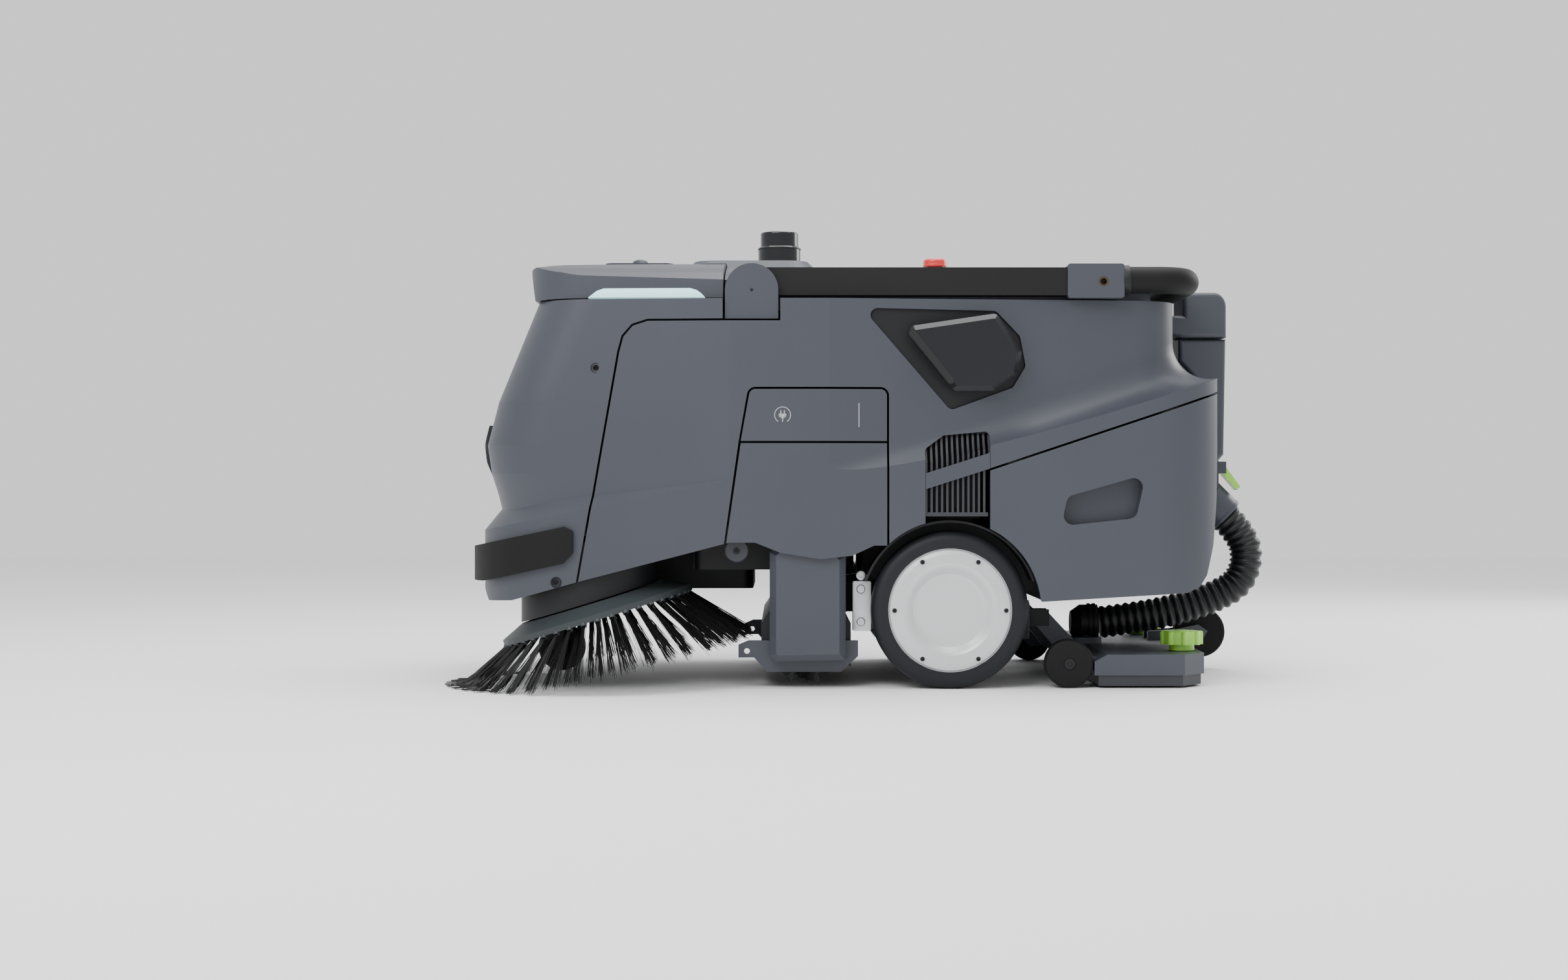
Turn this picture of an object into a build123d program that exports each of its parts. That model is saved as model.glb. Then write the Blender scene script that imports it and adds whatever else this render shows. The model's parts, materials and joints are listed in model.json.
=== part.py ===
"""Robotic floor cleaner with a side brush, a roller brush deck, a towed suction head and a push handle.

The machine faces -X, its left side is -Y and the floor is Z = 0. It is drawn about a datum on its
centre plane, and every piece is moved by SHIFT when it is saved, so that the origin ends up under the
middle of the whole machine.
"""

import os
from math import cos, pi, radians, sin, tan

from build123d import *

os.makedirs("parts", exist_ok=True)

# ---------------------------------------------------------------- driving dimensions, millimetres
SHIFT = (-110.2, 53.5, 0.0)        # from the drawing datum to the middle of the machine
WALL = 4.0                          # moulded cover thickness
SEAM = 3.0                          # shadow gap between two covers
CLEAR = 0.5                         # clearance between pieces that don't touch
PIN_FIT = 0.05                      # radial clearance of a pin in its hole
ACROSS = 420.0                      # half length of a cutter that crosses the whole machine

HALF_WIDTH = 310.0                  # lower body
HALF_FRONT = 283.0                  # upper body beside the nose
HALF_REAR = 254.0                   # upper body beside the tail
BODY_TOP = 543.0                    # upper edge of the side covers
BODY_REAR = 616.0                   # rearmost ledge
UPPER_REAR = 557.0                  # rear wall above the ledge
NOSE_JOIN = -76.0                   # where the tapered nose reaches the full width
TAIL_JOIN = 60.0                    # where the tapered tail leaves the full width
REAR_CORNER = 95.0
COVE = 52.0                         # hollow curve between the upper body and the rear ledge

WHEEL_X = 231.0
WHEEL_Z = 109.7
WHEEL_R = 109.7
WHEEL_OUT = 300.0                   # outer face of the tyre
WHEEL_W = 58.0
ARCH_R = 126.0
HUB_R = 86.0

PIVOT_X = -45.0                     # push handle hinge
PIVOT_Z = 555.0
BAR_Y = 270.0
CAP_HALF = 37.0                     # half width of the hinge cap
ESTOP_X = 229.0

# ---------------------------------------------------------------- helpers


def save(builder, label):
    """Move the finished piece to the machine's frame and write it as a STEP file."""
    piece = builder.part.moved(Location(SHIFT))
    piece.label = label
    export_step(piece, f"parts/{label}.step")


PAIRS = {}


def pair_up(builder, label):
    """Keep one of a pair of equal pieces, which are saved together as one node."""
    PAIRS.setdefault(label, []).append(builder.part)


def across(points, corner=0.0, inset=0.0, low=-ACROSS, high=ACROSS, upper=False):
    """Prism that runs across the machine from y = low to y = high, outlined in the side view.

    corner rounds every corner of the outline, or only its highest ones where upper is true.
    """
    with BuildPart() as prism:
        with BuildSketch(Plane.XZ.offset(-low)) as outline:
            with BuildLine():
                Polyline(*points, close=True)
            make_face()
            if inset:
                offset(amount=-inset, kind=Kind.INTERSECTION)
            if corner:
                corners = outline.vertices()
                fillet(corners.group_by(Axis.Y)[-1] if upper else corners, corner)
        extrude(amount=-(high - low))
    return prism.part


def lengthwise(points):
    """Prism that runs along the machine, outlined as (y, z) points."""
    with BuildPart() as prism:
        with BuildSketch(Plane.YZ.offset(-500.0)):
            with BuildLine():
                Polyline(*points, close=True)
            make_face()
        extrude(amount=1300.0)
    return prism.part


def block(low, high, radius=0.0):
    """Rectangular block between two corners, with its upright edges rounded."""
    size = [high[i] - low[i] for i in range(3)]
    with BuildPart(Plane((low[0] + size[0] / 2, low[1] + size[1] / 2, low[2]))) as body:
        Box(*size, align=(Align.CENTER, Align.CENTER, Align.MIN))
        if radius:
            fillet(body.edges().filter_by(Axis.Z), radius)
    return body.part


def rod(x, z, radius, low, high):
    """Round bar across the machine from y = low to y = high."""
    with BuildPart() as bar:
        with BuildSketch(Plane.XZ.offset(-low)):
            with Locations((x, z)):
                Circle(radius)
        extrude(amount=-(high - low))
    return bar.part


def post(x, y, radius, bottom, top):
    """Upright round bar."""
    with BuildPart(Plane((x, y, bottom))) as bar:
        Cylinder(radius, top - bottom, align=(Align.CENTER, Align.CENTER, Align.MIN))
    return bar.part


def span(side, near, far):
    """The y range from near to far, measured outwards on the side -1 (left) or 1 (right)."""
    return sorted((side * near, side * far))


SIDES = ((-1, "left"), (1, "right"))

# ---------------------------------------------------------------- bodywork envelope

# height of the nose section and its foremost x
NOSE = (
    (100.0, -416.0), (146.0, -424.0), (239.0, -401.0), (268.0, -408.0), (300.0, -418.0),
    (340.0, -424.0), (402.0, -408.0), (BODY_TOP, -350.0),
)
NOSE_CORNER = 95.0
NOSE_BACK = -20.0
SKIRT_FRONT = -429.0
SKIRT_CORNER = 125.0
SKIRT_FLARE = 28.0                  # sloped band along the top of the front skirt
SKIRT_RISE = 0.215                  # slope of the skirt's top, rising to the rear
SKIRT_TOP = 246.0                   # height of the skirt's top at its front
LEDGE_X = 286.0                     # a point on the rear ledge
LEDGE_Z = 330.0
LEDGE_RISE = 0.32                   # slope of the rear ledge


def ledge(x, drop=0.0):
    """Height of the rear ledge at x."""
    return LEDGE_Z - drop + LEDGE_RISE * (x - LEDGE_X)


def nose_form(inset):
    """Tapered nose: plan sections of one shape, joined by ruled bands."""
    with BuildPart() as form:
        for height, front in NOSE:
            with BuildSketch(Plane.XY.offset(height)) as section:
                with BuildLine():
                    Polyline(
                        (front, -HALF_FRONT), (NOSE_JOIN, -HALF_WIDTH), (NOSE_BACK, -HALF_WIDTH),
                        (NOSE_BACK, HALF_WIDTH), (NOSE_JOIN, HALF_WIDTH), (front, HALF_FRONT),
                        close=True,
                    )
                make_face()
                if inset:
                    offset(amount=-inset, kind=Kind.INTERSECTION)
                fillet(section.vertices().group_by(Axis.X)[0], NOSE_CORNER - inset)
        loft(ruled=True)
    return form.part


def skirt_form(inset):
    """Front skirt with rounded corners and a sloped band along its top."""
    front = SKIRT_FRONT + inset
    back = NOSE_JOIN + 40.0
    top = [SKIRT_TOP - inset + SKIRT_RISE * (x - SKIRT_FRONT) for x in (front, back)]
    with BuildPart() as form:
        with BuildSketch(Plane.XY.offset(100.0)) as plan:
            with BuildLine():
                Polyline(
                    (front, -HALF_WIDTH + inset), (back, -HALF_WIDTH + inset),
                    (back, HALF_WIDTH - inset), (front, HALF_WIDTH - inset), close=True,
                )
            make_face()
            fillet(plan.vertices().group_by(Axis.X)[0], SKIRT_CORNER - inset)
        extrude(amount=top[1])
        add(
            across(((front - 9.0, 0.0), (back + 9.0, 0.0), (back + 9.0, top[1]), (front - 9.0, top[0]))),
            mode=Mode.INTERSECT,
        )
        roof = form.faces().sort_by(Axis.Z)[-1]
        rim = roof.edges().filter_by(lambda edge: edge.center().X < back - 1.0)
        chamfer(rim, SKIRT_FLARE)
    return form.part


def tail_form(inset):
    """Rear body: full width below the sloping ledge, drawn in above it with a hollow curve."""
    half = HALF_WIDTH - inset
    rear = BODY_REAR - inset
    with BuildPart() as cutter:
        add(across((
            (TAIL_JOIN, ledge(TAIL_JOIN, inset)), (BODY_REAR + 80.0, ledge(BODY_REAR + 80.0, inset)),
            (BODY_REAR + 80.0, BODY_TOP + 60.0), (TAIL_JOIN, BODY_TOP + 60.0),
        )))
        with BuildSketch(Plane.XY) as plan:
            with BuildLine():
                Polyline(
                    (TAIL_JOIN - 50.0, -half - 6.0), (UPPER_REAR - inset, -HALF_REAR + inset),
                    (UPPER_REAR - inset, HALF_REAR - inset), (TAIL_JOIN - 50.0, half + 6.0),
                    close=True,
                )
            make_face()
            fillet(plan.vertices().group_by(Axis.X)[-1], 70.0 - inset)
        extrude(amount=BODY_TOP + 100.0, mode=Mode.SUBTRACT)
        inner = [
            edge for edge in cutter.edges()
            if all(abs((edge @ t).Z - ledge((edge @ t).X, inset)) < 0.1 for t in (0.0, 0.3, 1.0))
            and abs((edge @ 0.5).Y) < ACROSS - 1.0 and TAIL_JOIN + 1.0 < (edge @ 0.5).X < BODY_REAR
        ]
        fillet(inner, COVE)
    with BuildPart() as form:
        with BuildSketch(Plane.XY.offset(100.0)) as plan:
            with BuildLine():
                Polyline(
                    (NOSE_BACK - 20.0, -half), (rear, -half), (rear, half), (NOSE_BACK - 20.0, half), close=True,
                )
            make_face()
            fillet(plan.vertices().group_by(Axis.X)[-1], REAR_CORNER - inset)
        extrude(amount=BODY_TOP - 100.0)
        add(cutter.part, mode=Mode.SUBTRACT)
    return form.part


def body_form(inset):
    """Whole bodywork envelope, drawn inset inside its outer face."""
    with BuildPart() as form:
        add(nose_form(inset))
        add(skirt_form(inset))
        add(tail_form(inset))
    return form.part



# ---------------------------------------------------------------- covers

with BuildPart() as outer:
    add(body_form(0.0))

with BuildPart() as inner:
    add(body_form(WALL))

UNDER = (                           # everything below the covers' lower edge
    (-470.0, 0.0), (-470.0, 150.0), (-434.0, 150.0), (-418.0, 121.0), (-380.0, 123.0), (-288.0, 149.0),
    (NOSE_JOIN, 204.0), (-40.0, 204.0), (-5.0, 190.0), (50.0, 181.0), (95.0, 186.0), (125.0, 200.0),
    (231.0, 200.0), (340.0, 160.0), (358.0, 122.0), (560.0, 134.0), (580.0, 142.0), (592.0, 158.0),
    (604.0, 200.0), (611.0, 262.0), (617.0, 400.0), (640.0, 400.0), (640.0, 0.0),
)
with BuildPart() as skin:           # the whole thin bodywork, open above and below
    add(outer.part)
    add(inner.part, mode=Mode.SUBTRACT)
    add(block((-340.0, -240.0, BODY_TOP - WALL - 1.0), (UPPER_REAR - 30.0, 240.0, BODY_TOP + 1.0)),
        mode=Mode.SUBTRACT)
    add(across(UNDER), mode=Mode.SUBTRACT)
    add(rod(WHEEL_X, WHEEL_Z, ARCH_R, -ACROSS, ACROSS), mode=Mode.SUBTRACT)

SEAM_RISE = (LEDGE_X, 304.0, BODY_REAR, 414.0)   # upper edge of the dust bin, two points
BIN_FRONT = 286.0
SIDE_FRONT = (                      # everything ahead of the side covers, in the side view
    (-480.0, 60.0), (-304.0, 60.0), (-232.0, 470.0), (-226.0, 492.0), (-212.0, 508.0),
    (-190.0, 515.0), (-60.0, 515.0), (-60.0, 700.0), (-480.0, 700.0),
)
BIN_ZONE = (
    (BIN_FRONT, 60.0), (BIN_FRONT, SEAM_RISE[1]), (BODY_REAR + 24.0, SEAM_RISE[3] + 8.0),
    (BODY_REAR + 24.0, 60.0),
)
DOOR = ((-60.0, 345.0), (143.0, 345.0), (143.0, 417.0), (-47.0, 417.0))
ACCESS = (                          # the opening behind the door and the panel below it
    (-82.0, 160.0), (-82.0, 190.0), (-60.0, 343.5), (-47.0, 417.0), (143.0, 417.0), (143.0, 160.0),
)
PANEL = ((-82.0, 190.0), (-60.0, 342.0), (143.0, 342.0), (143.0, 160.0), (-82.0, 160.0))
VENT = ((196.0, 221.0), (286.0, 221.0), (286.0, 359.0), (222.0, 353.0), (196.0, 334.0))
VENT_CORNER = 7.0
VENT_SLOTS = 12
VENT_PITCH = 7.3
SLOT_W, SLOT_FOOT, SLOT_HEAD = 4.2, 246.0, 356.0
GRILLE_FOOT = 240.5
BAND = ((190.0, 276.0), (296.0, 310.0), (296.0, 332.0), (190.0, 298.0))
POD = (
    (108.0, 530.0), (296.0, 527.0), (330.0, 492.0), (338.0, 450.0), (320.0, 420.0), (232.0, 388.0),
)
POD_CORNER = 10.0
BACK_HALF = 118.0                   # half width of the rear panel between the side covers


def grown(points, amount, **limits):
    """The prism across the machine through an outline that is grown all round."""
    return across(points, inset=-amount, **limits)


with BuildPart() as front_shell:
    add(skin.part)
    add(across(SIDE_FRONT), mode=Mode.INTERSECT)
    for x, z in ((-262.0, 447.0), (-316.0, 149.0)):
        with Locations(Plane.XZ.offset(-ACROSS)):
            with Locations((x, z)):
                Cylinder(4.5, 4 * ACROSS, mode=Mode.SUBTRACT)
    add(block((PIVOT_X - CAP_HALF - SEAM, -ACROSS, 512.0), (0.0, ACROSS, 700.0)), mode=Mode.SUBTRACT)
save(front_shell, "front_shell")

for side, name in SIDES:
    low, high = span(side, 0.0, ACROSS)
    with BuildPart() as side_cover:
        add(skin.part)
        add(across(((-480.0, 60.0), (640.0, 60.0), (640.0, 700.0), (-480.0, 700.0)), low=low, high=high),
            mode=Mode.INTERSECT)
        add(grown(SIDE_FRONT, SEAM), mode=Mode.SUBTRACT)
        add(grown(BIN_ZONE, SEAM), mode=Mode.SUBTRACT)
        add(grown(ACCESS, SEAM, corner=12.0, upper=True), mode=Mode.SUBTRACT)
        add(across(VENT, corner=VENT_CORNER), mode=Mode.SUBTRACT)
        add(across(POD, corner=POD_CORNER), mode=Mode.SUBTRACT)
        add(block((UPPER_REAR - 60.0, -BACK_HALF - SEAM, 100.0), (660.0, BACK_HALF + SEAM, 700.0)),
            mode=Mode.SUBTRACT)
        add(block((PIVOT_X - CAP_HALF - SEAM, -ACROSS, 512.0), (PIVOT_X + CAP_HALF + SEAM, ACROSS, 700.0)),
            mode=Mode.SUBTRACT)
    save(side_cover, f"side_cover_{name}")

    with BuildPart() as vent_band:
        add(skin.part)
        add(across(VENT, inset=CLEAR, low=low, high=high), mode=Mode.INTERSECT)
        add(across(BAND), mode=Mode.INTERSECT)
    pair_up(vent_band, "service_panels")
    with BuildPart() as vent_grille:
        add(inner.part)
        add(body_form(WALL + 9.0), mode=Mode.SUBTRACT)
        add(across(VENT, inset=-6.0, low=low, high=high), mode=Mode.INTERSECT)
        add(across(BIN_ZONE, inset=-SEAM), mode=Mode.SUBTRACT)
        for step in range(VENT_SLOTS):
            x = VENT[0][0] + 3.0 + step * VENT_PITCH
            slot = ((x, SLOT_FOOT), (x + SLOT_W, SLOT_FOOT), (x + SLOT_W, SLOT_HEAD), (x, SLOT_HEAD))
            add(across(slot), mode=Mode.SUBTRACT)
        add(block((VENT[0][0] - 40.0, -ACROSS, 100.0), (VENT[1][0] + 40.0, ACROSS, GRILLE_FOOT)),
            mode=Mode.SUBTRACT)
    pair_up(vent_grille, "vent_grilles")

    with BuildPart() as service_panel:
        add(skin.part)
        add(across(PANEL, low=low, high=high), mode=Mode.INTERSECT)
    pair_up(service_panel, "service_panels")

with BuildPart() as rear_panel:
    add(skin.part)
    add(block((UPPER_REAR - 60.0, -BACK_HALF, 100.0), (660.0, BACK_HALF, 700.0)), mode=Mode.INTERSECT)
    add(grown(BIN_ZONE, SEAM), mode=Mode.SUBTRACT)
save(rear_panel, "rear_panel")

with BuildPart() as charge_door:
    add(skin.part)
    add(across(DOOR, corner=9.0, upper=True, low=-ACROSS, high=0.0), mode=Mode.INTERSECT)
save(charge_door, "charge_door")

with BuildPart() as right_hatch:
    add(skin.part)
    add(across(DOOR, corner=9.0, upper=True, low=0.0, high=ACROSS), mode=Mode.INTERSECT)
pair_up(right_hatch, "service_panels")

# socket housing behind the charge door
SOCKET = ((-44.0, 352.0), (134.0, 352.0), (134.0, 410.0), (-36.0, 410.0))
with BuildPart() as charge_socket:
    add(across(SOCKET, inset=-4.0, low=-HALF_WIDTH + 18.0, high=-HALF_WIDTH + 72.0))
    add(across(SOCKET, low=-HALF_WIDTH - 1.0, high=-HALF_WIDTH + 64.0), mode=Mode.SUBTRACT)
    add(rod(20.0, 381.0, 17.0, -HALF_WIDTH + 40.0, -HALF_WIDTH + 65.0))
    add(rod(20.0, 381.0, 14.0, -HALF_WIDTH + 39.0, -HALF_WIDTH + 58.0), mode=Mode.SUBTRACT)
save(charge_socket, "charge_socket")

# dust bin: an open tub under the rear ledge, with a finger grip in each side
GRIP = ((384.0, 227.0), (488.0, 238.0), (502.0, 299.0), (393.0, 268.0))
GRIP_CORNER = 13.0
GRIP_DEPTH = 26.0
with BuildPart() as bin_outside:
    add(outer.part)
    add(across(BIN_ZONE), mode=Mode.INTERSECT)
    add(across(UNDER), mode=Mode.SUBTRACT)
    add(rod(WHEEL_X, WHEEL_Z, ARCH_R, -ACROSS, ACROSS), mode=Mode.SUBTRACT)
    add(block((BIN_FRONT - 1.0, -HALF_WIDTH + 12.0, 100.0), (362.0, HALF_WIDTH - 12.0, 430.0)),
        mode=Mode.SUBTRACT)
with BuildPart() as bin_inside:
    add(inner.part)
    add(across((
        (366.0, 126.0), (556.0, 138.0), (575.0, 146.0), (587.0, 162.0), (599.0, 201.0), (606.0, 262.0),
        (612.0, 400.0), (612.0, 440.0), (366.0, 440.0),
    )), mode=Mode.INTERSECT)
    for side, name in SIDES:
        low, high = span(side, HALF_WIDTH - GRIP_DEPTH - WALL, ACROSS)
        add(across(GRIP, inset=-WALL, low=low, high=high), mode=Mode.SUBTRACT)
with BuildPart() as dust_bin:
    add(bin_outside.part)
    add(bin_inside.part, mode=Mode.SUBTRACT)
    for side, name in SIDES:
        low, high = span(side, HALF_WIDTH - GRIP_DEPTH, ACROSS)
        add(across(GRIP, corner=GRIP_CORNER, low=low, high=high), mode=Mode.SUBTRACT)
save(dust_bin, "dust_bin")

# ---------------------------------------------------------------- chassis and what it carries inside

PAN_Z = 222.0
PAN_T = 6.0
PAN_HALF = 225.0
with BuildPart() as chassis_frame:
    add(block((-345.0, -PAN_HALF, PAN_Z), (276.0, PAN_HALF, PAN_Z + PAN_T), 30.0))
    for side, name in SIDES:
        low, high = span(side, PAN_HALF - 24.0, PAN_HALF - 4.0)
        add(block((-300.0, low, PAN_Z + PAN_T - 1.0), (268.0, high, PAN_Z + 34.0)))
        low, high = span(side, PAN_HALF - 12.0, PAN_HALF - 4.0)
        add(block((236.0, low, PAN_Z + PAN_T - 1.0), (268.0, high, 520.0)))
    add(block((236.0, -PAN_HALF + 4.0, 440.0), (244.0, PAN_HALF - 4.0, 500.0)))
    add(block((-205.0, -52.0, 130.0), (-46.0, 215.0, PAN_Z + 1.0), 14.0))
    add(block((-130.0, -200.0, 163.0), (100.0, 215.0, PAN_Z + 1.0), 14.0))
save(chassis_frame, "chassis_frame")

BEAM_X = (172.0, 352.0)
BEAM_Z = (64.0, 116.0)
BEAM_HALF = 205.0
AXLE_R = 12.0
with BuildPart() as axle_beam:
    add(block((BEAM_X[0], -BEAM_HALF, BEAM_Z[0]), (BEAM_X[1], BEAM_HALF, BEAM_Z[1]), 8.0))
    add(block((BEAM_X[0], -120.0, BEAM_Z[1] - 1.0), (BEAM_X[0] + 80.0, 120.0, PAN_Z)))
    for side, name in SIDES:
        low, high = span(side, BEAM_HALF - 10.0, WHEEL_OUT - 20.0)
        add(rod(WHEEL_X, WHEEL_Z, AXLE_R, low, high))
pair_up(axle_beam, "axle_beam")

for side, name in SIDES:
    low, high = span(side, 227.0, 290.0)
    with BuildPart() as wheel_well:
        add(rod(WHEEL_X, WHEEL_Z, ARCH_R - 1.0, low, high))
        low, high = span(side, 231.0, 310.0)
        add(rod(WHEEL_X, WHEEL_Z, ARCH_R - 4.0, low, high), mode=Mode.SUBTRACT)
        add(block((WHEEL_X - 200.0, -ACROSS, -50.0), (WHEEL_X + 200.0, ACROSS, 150.0)), mode=Mode.SUBTRACT)
    pair_up(wheel_well, "wheel_wells")

    low, high = span(side, 256.0, 262.0)
    with BuildPart() as wheel_bracket:
        add(across(((96.0, 80.0), (121.0, 80.0), (121.0, 149.0), (96.0, 149.0)), low=low, high=high))
        low, high = span(side, BEAM_HALF - 6.0, 257.0)
        add(across(((98.0, 92.0), (119.0, 92.0), (119.0, 112.0), (98.0, 112.0)), low=low, high=high))
        low, high = span(side, BEAM_HALF - 6.0, BEAM_HALF - 1.0)
        add(across(((98.0, 92.0), (BEAM_X[0] - 1.0, 92.0), (BEAM_X[0] - 1.0, 112.0), (98.0, 112.0)),
                   low=low, high=high))
        for z in (92.0, 138.0):
            low, high = span(side, 255.0, 266.0)
            add(rod(108.0, z, 6.0, low, high))
    pair_up(wheel_bracket, "axle_beam")

with BuildPart() as battery:
    add(block((-140.0, -150.0, PAN_Z + PAN_T), (130.0, 150.0, 400.0), 12.0))
    fillet(battery.faces().sort_by(Axis.Z)[-1].edges(), 6.0)
save(battery, "battery_pack")

with BuildPart() as computer:
    add(block((-310.0, -110.0, PAN_Z + PAN_T), (-170.0, 110.0, 310.0), 8.0))
    with BuildSketch(Plane.XY.offset(310.0)):
        with Locations((-240.0, 0.0)):
            with GridLocations(14.0, 0.0, 9, 1):
                Rectangle(4.0, 180.0)
    extrude(amount=12.0)
save(computer, "control_box")

FAN_X = 460.0
with BuildPart() as vacuum_fan:
    add(post(FAN_X, 0.0, 78.0, 420.0, 500.0))
    add(post(FAN_X, 0.0, 46.0, 499.0, 530.0))
pair_up(vacuum_fan, "vacuum_unit")
with BuildPart() as filter_box:
    add(block((370.0, -180.0, 376.0), (545.0, 180.0, 419.0), 14.0))
    with BuildSketch(Plane.XY.offset(376.0)):
        with Locations((457.0, 0.0)):
            with GridLocations(16.0, 0.0, 9, 1):
                Rectangle(8.0, 320.0)
    extrude(amount=30.0, mode=Mode.SUBTRACT)
pair_up(filter_box, "vacuum_unit")

# ---------------------------------------------------------------- top of the machine

CAP_REAR = PIVOT_X - CAP_HALF - SEAM
CAP_SIDE = (
    (-353.0, 545.0), (-361.0, 590.0), (-330.0, 598.0), (-268.0, 606.0), (-160.0, 611.0),
    (CAP_REAR, 612.0), (CAP_REAR, 545.0),
)
LED = (
    (-276.0, 545.0), (-262.0, 555.5), (-252.0, 559.0), (-131.0, 559.0), (-121.0, 556.0), (-114.0, 550.5),
    (-109.0, 545.0),
)
with BuildPart() as cap_plan:
    with BuildSketch(Plane.XY.offset(520.0)) as plan:
        with BuildLine():
            Polyline((-361.0, -276.0), (PIVOT_X, -295.0), (PIVOT_X, 295.0), (-361.0, 276.0), close=True)
        make_face()
        fillet(plan.vertices().group_by(Axis.X)[0], 90.0)
    extrude(amount=120.0)
with BuildPart() as front_cap:
    add(across(CAP_SIDE))
    add(cap_plan.part, mode=Mode.INTERSECT)
    add(lengthwise((
        (-300.0, 540.0), (-300.0, 566.0), (-272.0, 582.0), (-240.0, 591.0), (-190.0, 600.0), (-80.0, 612.0),
        (80.0, 612.0), (190.0, 600.0), (240.0, 591.0), (272.0, 582.0), (300.0, 566.0), (300.0, 540.0),
    )), mode=Mode.INTERSECT)
    for side, name in SIDES:
        low, high = span(side, 255.0, ACROSS)
        add(across(LED, low=low, high=high), mode=Mode.SUBTRACT)
    add(block((-325.0, -215.0, 500.0), (PIVOT_X, 215.0, 582.0), 60.0), mode=Mode.SUBTRACT)
save(front_cap, "front_cap")

for side, name in SIDES:
    with BuildPart() as light_strip:
        add(across(CAP_SIDE))
        add(cap_plan.part, mode=Mode.INTERSECT)
        low, high = span(side, 257.0, ACROSS)
        add(across(LED, inset=0.6, low=low, high=high), mode=Mode.INTERSECT)
    pair_up(light_strip, "light_strips")

DECK_HALF = 236.0
DECK_FRONT = CAP_REAR + 1.5
DECK_TOP = 604.0
with BuildPart() as top_deck:
    with BuildSketch(Plane.XY.offset(530.0)) as plan:
        with BuildLine():
            Polyline((DECK_FRONT, -DECK_HALF), (528.0, -DECK_HALF), (528.0, DECK_HALF),
                     (DECK_FRONT, DECK_HALF), close=True)
        make_face()
        fillet(plan.vertices().group_by(Axis.X)[-1], 60.0)
    extrude(amount=92.0)
    add(across(((-120.0, 500.0), (-120.0, DECK_TOP), (150.0, DECK_TOP), (420.0, 599.0), (500.0, 592.0),
                (528.0, 578.0), (528.0, 500.0))), mode=Mode.INTERSECT)
    add(lengthwise((
        (-240.0, 500.0), (-240.0, 572.0), (-228.0, 580.0), (-200.0, 589.0), (-110.0, DECK_TOP),
        (110.0, DECK_TOP), (200.0, 589.0), (228.0, 580.0), (240.0, 572.0), (240.0, 500.0),
    )), mode=Mode.INTERSECT)
    add(block((PIVOT_X - 60.0, -DECK_HALF + 20.0, 500.0), (500.0, DECK_HALF - 20.0, 566.0), 30.0),
        mode=Mode.SUBTRACT)
    with Locations((ESTOP_X, 0.0, DECK_TOP)):
        Cylinder(24.0, 120.0, mode=Mode.SUBTRACT)
save(top_deck, "top_deck")

LIDAR_X = -7.0
LIDAR_FOOT = 618.0
LIDAR_WAIST = 645.0
LIDAR_TOP = 667.0
with BuildPart() as sensor_plinth:
    with BuildSketch(Plane.XY.offset(600.0)):
        with Locations((-49.0, 0.0)):
            RectangleRounded(204.0, 186.0, 40.0)
    with BuildSketch(Plane.XY.offset(LIDAR_FOOT)):
        with Locations((-49.0, 0.0)):
            RectangleRounded(170.0, 150.0, 34.0)
    loft()
    add(across(((-200.0, 500.0), (-200.0, 612.8), (CAP_REAR, 612.8), (DECK_FRONT, DECK_TOP + CLEAR),
                (100.0, DECK_TOP + CLEAR), (100.0, 500.0))), mode=Mode.SUBTRACT)
pair_up(sensor_plinth, "sensor_plinths")

with BuildPart() as lidar_base:
    add(post(LIDAR_X, 0.0, 32.0, LIDAR_FOOT, LIDAR_WAIST))
    chamfer(lidar_base.faces().sort_by(Axis.Z)[-1].edges(), 2.0)
pair_up(lidar_base, "lidar")
with BuildPart() as lidar_head:
    add(post(LIDAR_X, 0.0, 28.5, LIDAR_WAIST, LIDAR_TOP))
    fillet(lidar_head.faces().sort_by(Axis.Z)[-1].edges(), 3.0)
pair_up(lidar_head, "lidar")

with BuildPart() as camera_plate:
    with BuildSketch(Plane.XY.offset(612.5)):
        with Locations((-218.0, 0.0)):
            RectangleRounded(102.0, 70.0, 14.0)
    extrude(amount=5.5)
    with BuildSketch(Plane.XY.offset(617.5)):
        with Locations((-218.0, 0.0)):
            Circle(14.0)
    extrude(amount=6.5, taper=30.0)
pair_up(camera_plate, "sensor_plinths")

with BuildPart() as estop_collar:
    add(post(ESTOP_X, 0.0, 23.5, 585.0, 610.5))
    add(post(ESTOP_X, 0.0, 12.3, 575.0, 620.0), mode=Mode.SUBTRACT)
    fillet(estop_collar.faces().sort_by(Axis.Z)[-1].edges().sort_by(SortBy.RADIUS)[-1], 3.0)
save(estop_collar, "estop_collar")
with BuildPart() as estop_button:
    add(post(ESTOP_X, 0.0, 12.0, 580.0, 615.5))
    add(post(ESTOP_X, 0.0, 17.5, 615.0, 627.0))
    fillet(estop_button.faces().sort_by(Axis.Z)[-1].edges(), 4.0)
save(estop_button, "estop_button")

# ---------------------------------------------------------------- push handle

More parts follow.
